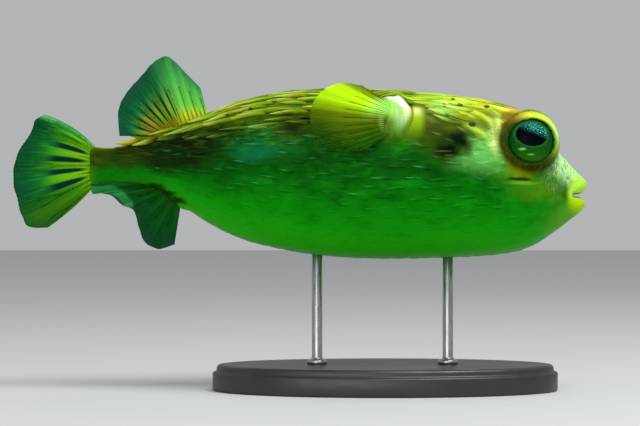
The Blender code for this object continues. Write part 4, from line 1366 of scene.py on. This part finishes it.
# A rod's collar from its foot up: how far out from the rod, and how high over the base
COLLAR = [(1.5, 0.0), (1.8, 0.2), (1.8, 1.2), (1.6, 1.6), (1.1, 1.9), (0.5, 2.1), (0.15, 2.3), (0.0, 2.8)]
ROD_BEVEL = 0.3


def turned(name, node, profile, columns):
    """A closed shape round a solid's round or oval outline: each ring is set out from it, at a height."""
    (low_x, low_y, _), (high_x, high_y, _) = node_box(node)
    angle = -np.arange(columns) * 2 * math.pi / columns
    points = np.array([np.stack([(low_x + high_x) / 2 + ((high_x - low_x) / 2 + out) * np.cos(angle),
                                 (low_y + high_y) / 2 + ((high_y - low_y) / 2 + out) * np.sin(angle),
                                 np.full_like(angle, up)], axis=-1) for out, up in profile])
    return mesh_from(name, points, grid_faces(*points.shape[:2]))


def build_base(name, node):
    """An oval base with a stepped and rounded edge."""
    low = node_box(node)[0][2]
    return turned(name, node, [(-inset, low + up) for inset, up in BASE_EDGE], BASE_COLUMNS)


def build_rod(name, node):
    """A round rod from its collar on the base up into the fish."""
    (_, _, low), (_, _, high) = node_box(node)
    foot = node_box("stand_base")[1][2]
    collar = [(out, foot + up) for out, up in COLLAR]
    profile = [(0.0, low), *collar, (0.0, high - ROD_BEVEL), (-ROD_BEVEL, high)]
    return turned(name, node, profile, ROD_COLUMNS)


def satin_paint():
    """Black paint rubbed over wood, its grain just showing."""
    material, t = new_material("satin_black_paint")
    x, y, z = t.parts(t.place())
    grain = t.noise(t.vector(x * 0.06, y, z * 0.6), 1.1, 4.0)
    cloud = t.noise(t.place(), 14.0, 3.0)
    dust = t.noise(t.place(), 0.35, 2.0)
    worn = t.within(z, 9.2, 9.8, 9.8, 10.0) * t.step(cloud, 0.45, 0.7)       # along the base's upper edge
    colour = t.coats((33, 34, 36), (t.step(cloud, 0.3, 0.7), (41, 42, 44)),
                     (t.step(dust, 0.66, 0.78) * 0.25, (96, 97, 98)), (worn * 0.5, (70, 68, 64)))
    return finish_with(material, t, {"Base Color": colour, "Roughness": t.step(grain, 0.3, 0.7, 0.34, 0.46),
                                     "Normal": t.bump(grain + dust * 0.2, 0.05)})


def brushed_steel():
    """Steel brushed along the rods, with faint smudges."""
    material, t = new_material("brushed_steel")
    x, y, z = t.parts(t.place())
    lines = t.noise(t.vector(x * 3.0, y * 3.0, z * 0.08), 0.5, 3.0)
    smudge = t.noise(t.place(), 6.0, 2.0)
    colour = t.mix(t.step(lines, 0.35, 0.65), (150, 152, 154), (188, 190, 192))
    return finish_with(material, t, {"Base Color": colour, "Metallic": 1.0,
                                     "Roughness": t.step(lines * 0.6 + smudge * 0.4, 0.35, 0.65, 0.24, 0.4),
                                     "Normal": t.bump(lines, 0.02)})


paint, steel = satin_paint(), brushed_steel()
STAND = {"stand_base": ("stand_base_painted", build_base, "stand_paint", paint),
         "stand_rod_front": ("stand_rod_front_brushed", build_rod, "rod_steel", steel),
         "stand_rod_rear": ("stand_rod_rear_brushed", build_rod, "rod_steel", steel)}
for node, (name, build, slot, finish) in STAND.items():
    data = build(name, node)
    data.materials.append(finish)
    piece = add_object(name, data)
    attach(piece, "root")
    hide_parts(node)

# ---- stage -------------------------------------------------------------------------------------
CAMERA_PLACE = (-24.9, -800.0, 67.8)     # level with the fish, square to its right flank
VIEW_WIDTH = 244.86                      # how much it sees across, at the fish
LAMP_AIM = (0, 0, 0.08)
LAMPS = {"key": ((0.3, -0.3, 0.87), 0.5, 7), "fill": ((-0.3, -1.0, 0.25), 0.8, 4)}   # place, width, watts
SKY, SKY_STRENGTH = (0.9, 0.92, 0.94, 1), 0.5
FLOOR_HALF = 3000

camera_data = bpy.data.cameras.new("camera")
camera = add_object("camera", camera_data)
camera.location = Vector(CAMERA_PLACE) * MM
camera.rotation_euler = (math.radians(90), 0, 0)
camera_data.lens = camera_data.sensor_width * -CAMERA_PLACE[1] / VIEW_WIDTH
bpy.context.scene.camera = camera

world = bpy.data.worlds.new("studio")
world.use_nodes = True
background = world.node_tree.nodes["Background"].inputs
background["Color"].default_value, background["Strength"].default_value = SKY, SKY_STRENGTH
bpy.context.scene.world = world
bpy.context.scene.view_settings.view_transform = 'Standard'


def soft_light(name, place, size, watts):
    data = bpy.data.lights.new(name, 'AREA')
    data.shape = 'DISK'
    data.size = size
    data.energy = watts
    lamp = add_object(name, data)
    lamp.location = place
    lamp.rotation_euler = (Vector(LAMP_AIM) - Vector(place)).to_track_quat('-Z', 'Y').to_euler()


for name, settings in LAMPS.items():
    soft_light(name, *settings)

floor_corners = [(x * FLOOR_HALF, y * FLOOR_HALF, 0) for x, y in ((-1, -1), (1, -1), (1, 1), (-1, 1))]
floor_data = mesh_from("floor", floor_corners, [(0, 1, 2, 3)], smooth=False)
floor = add_object("floor", floor_data)
floor_material, t = new_material("pale_floor")
finish_with(floor_material, t, {"Base Color": (206, 207, 208), "Roughness": 0.7})
floor_data.materials.append(floor_material)
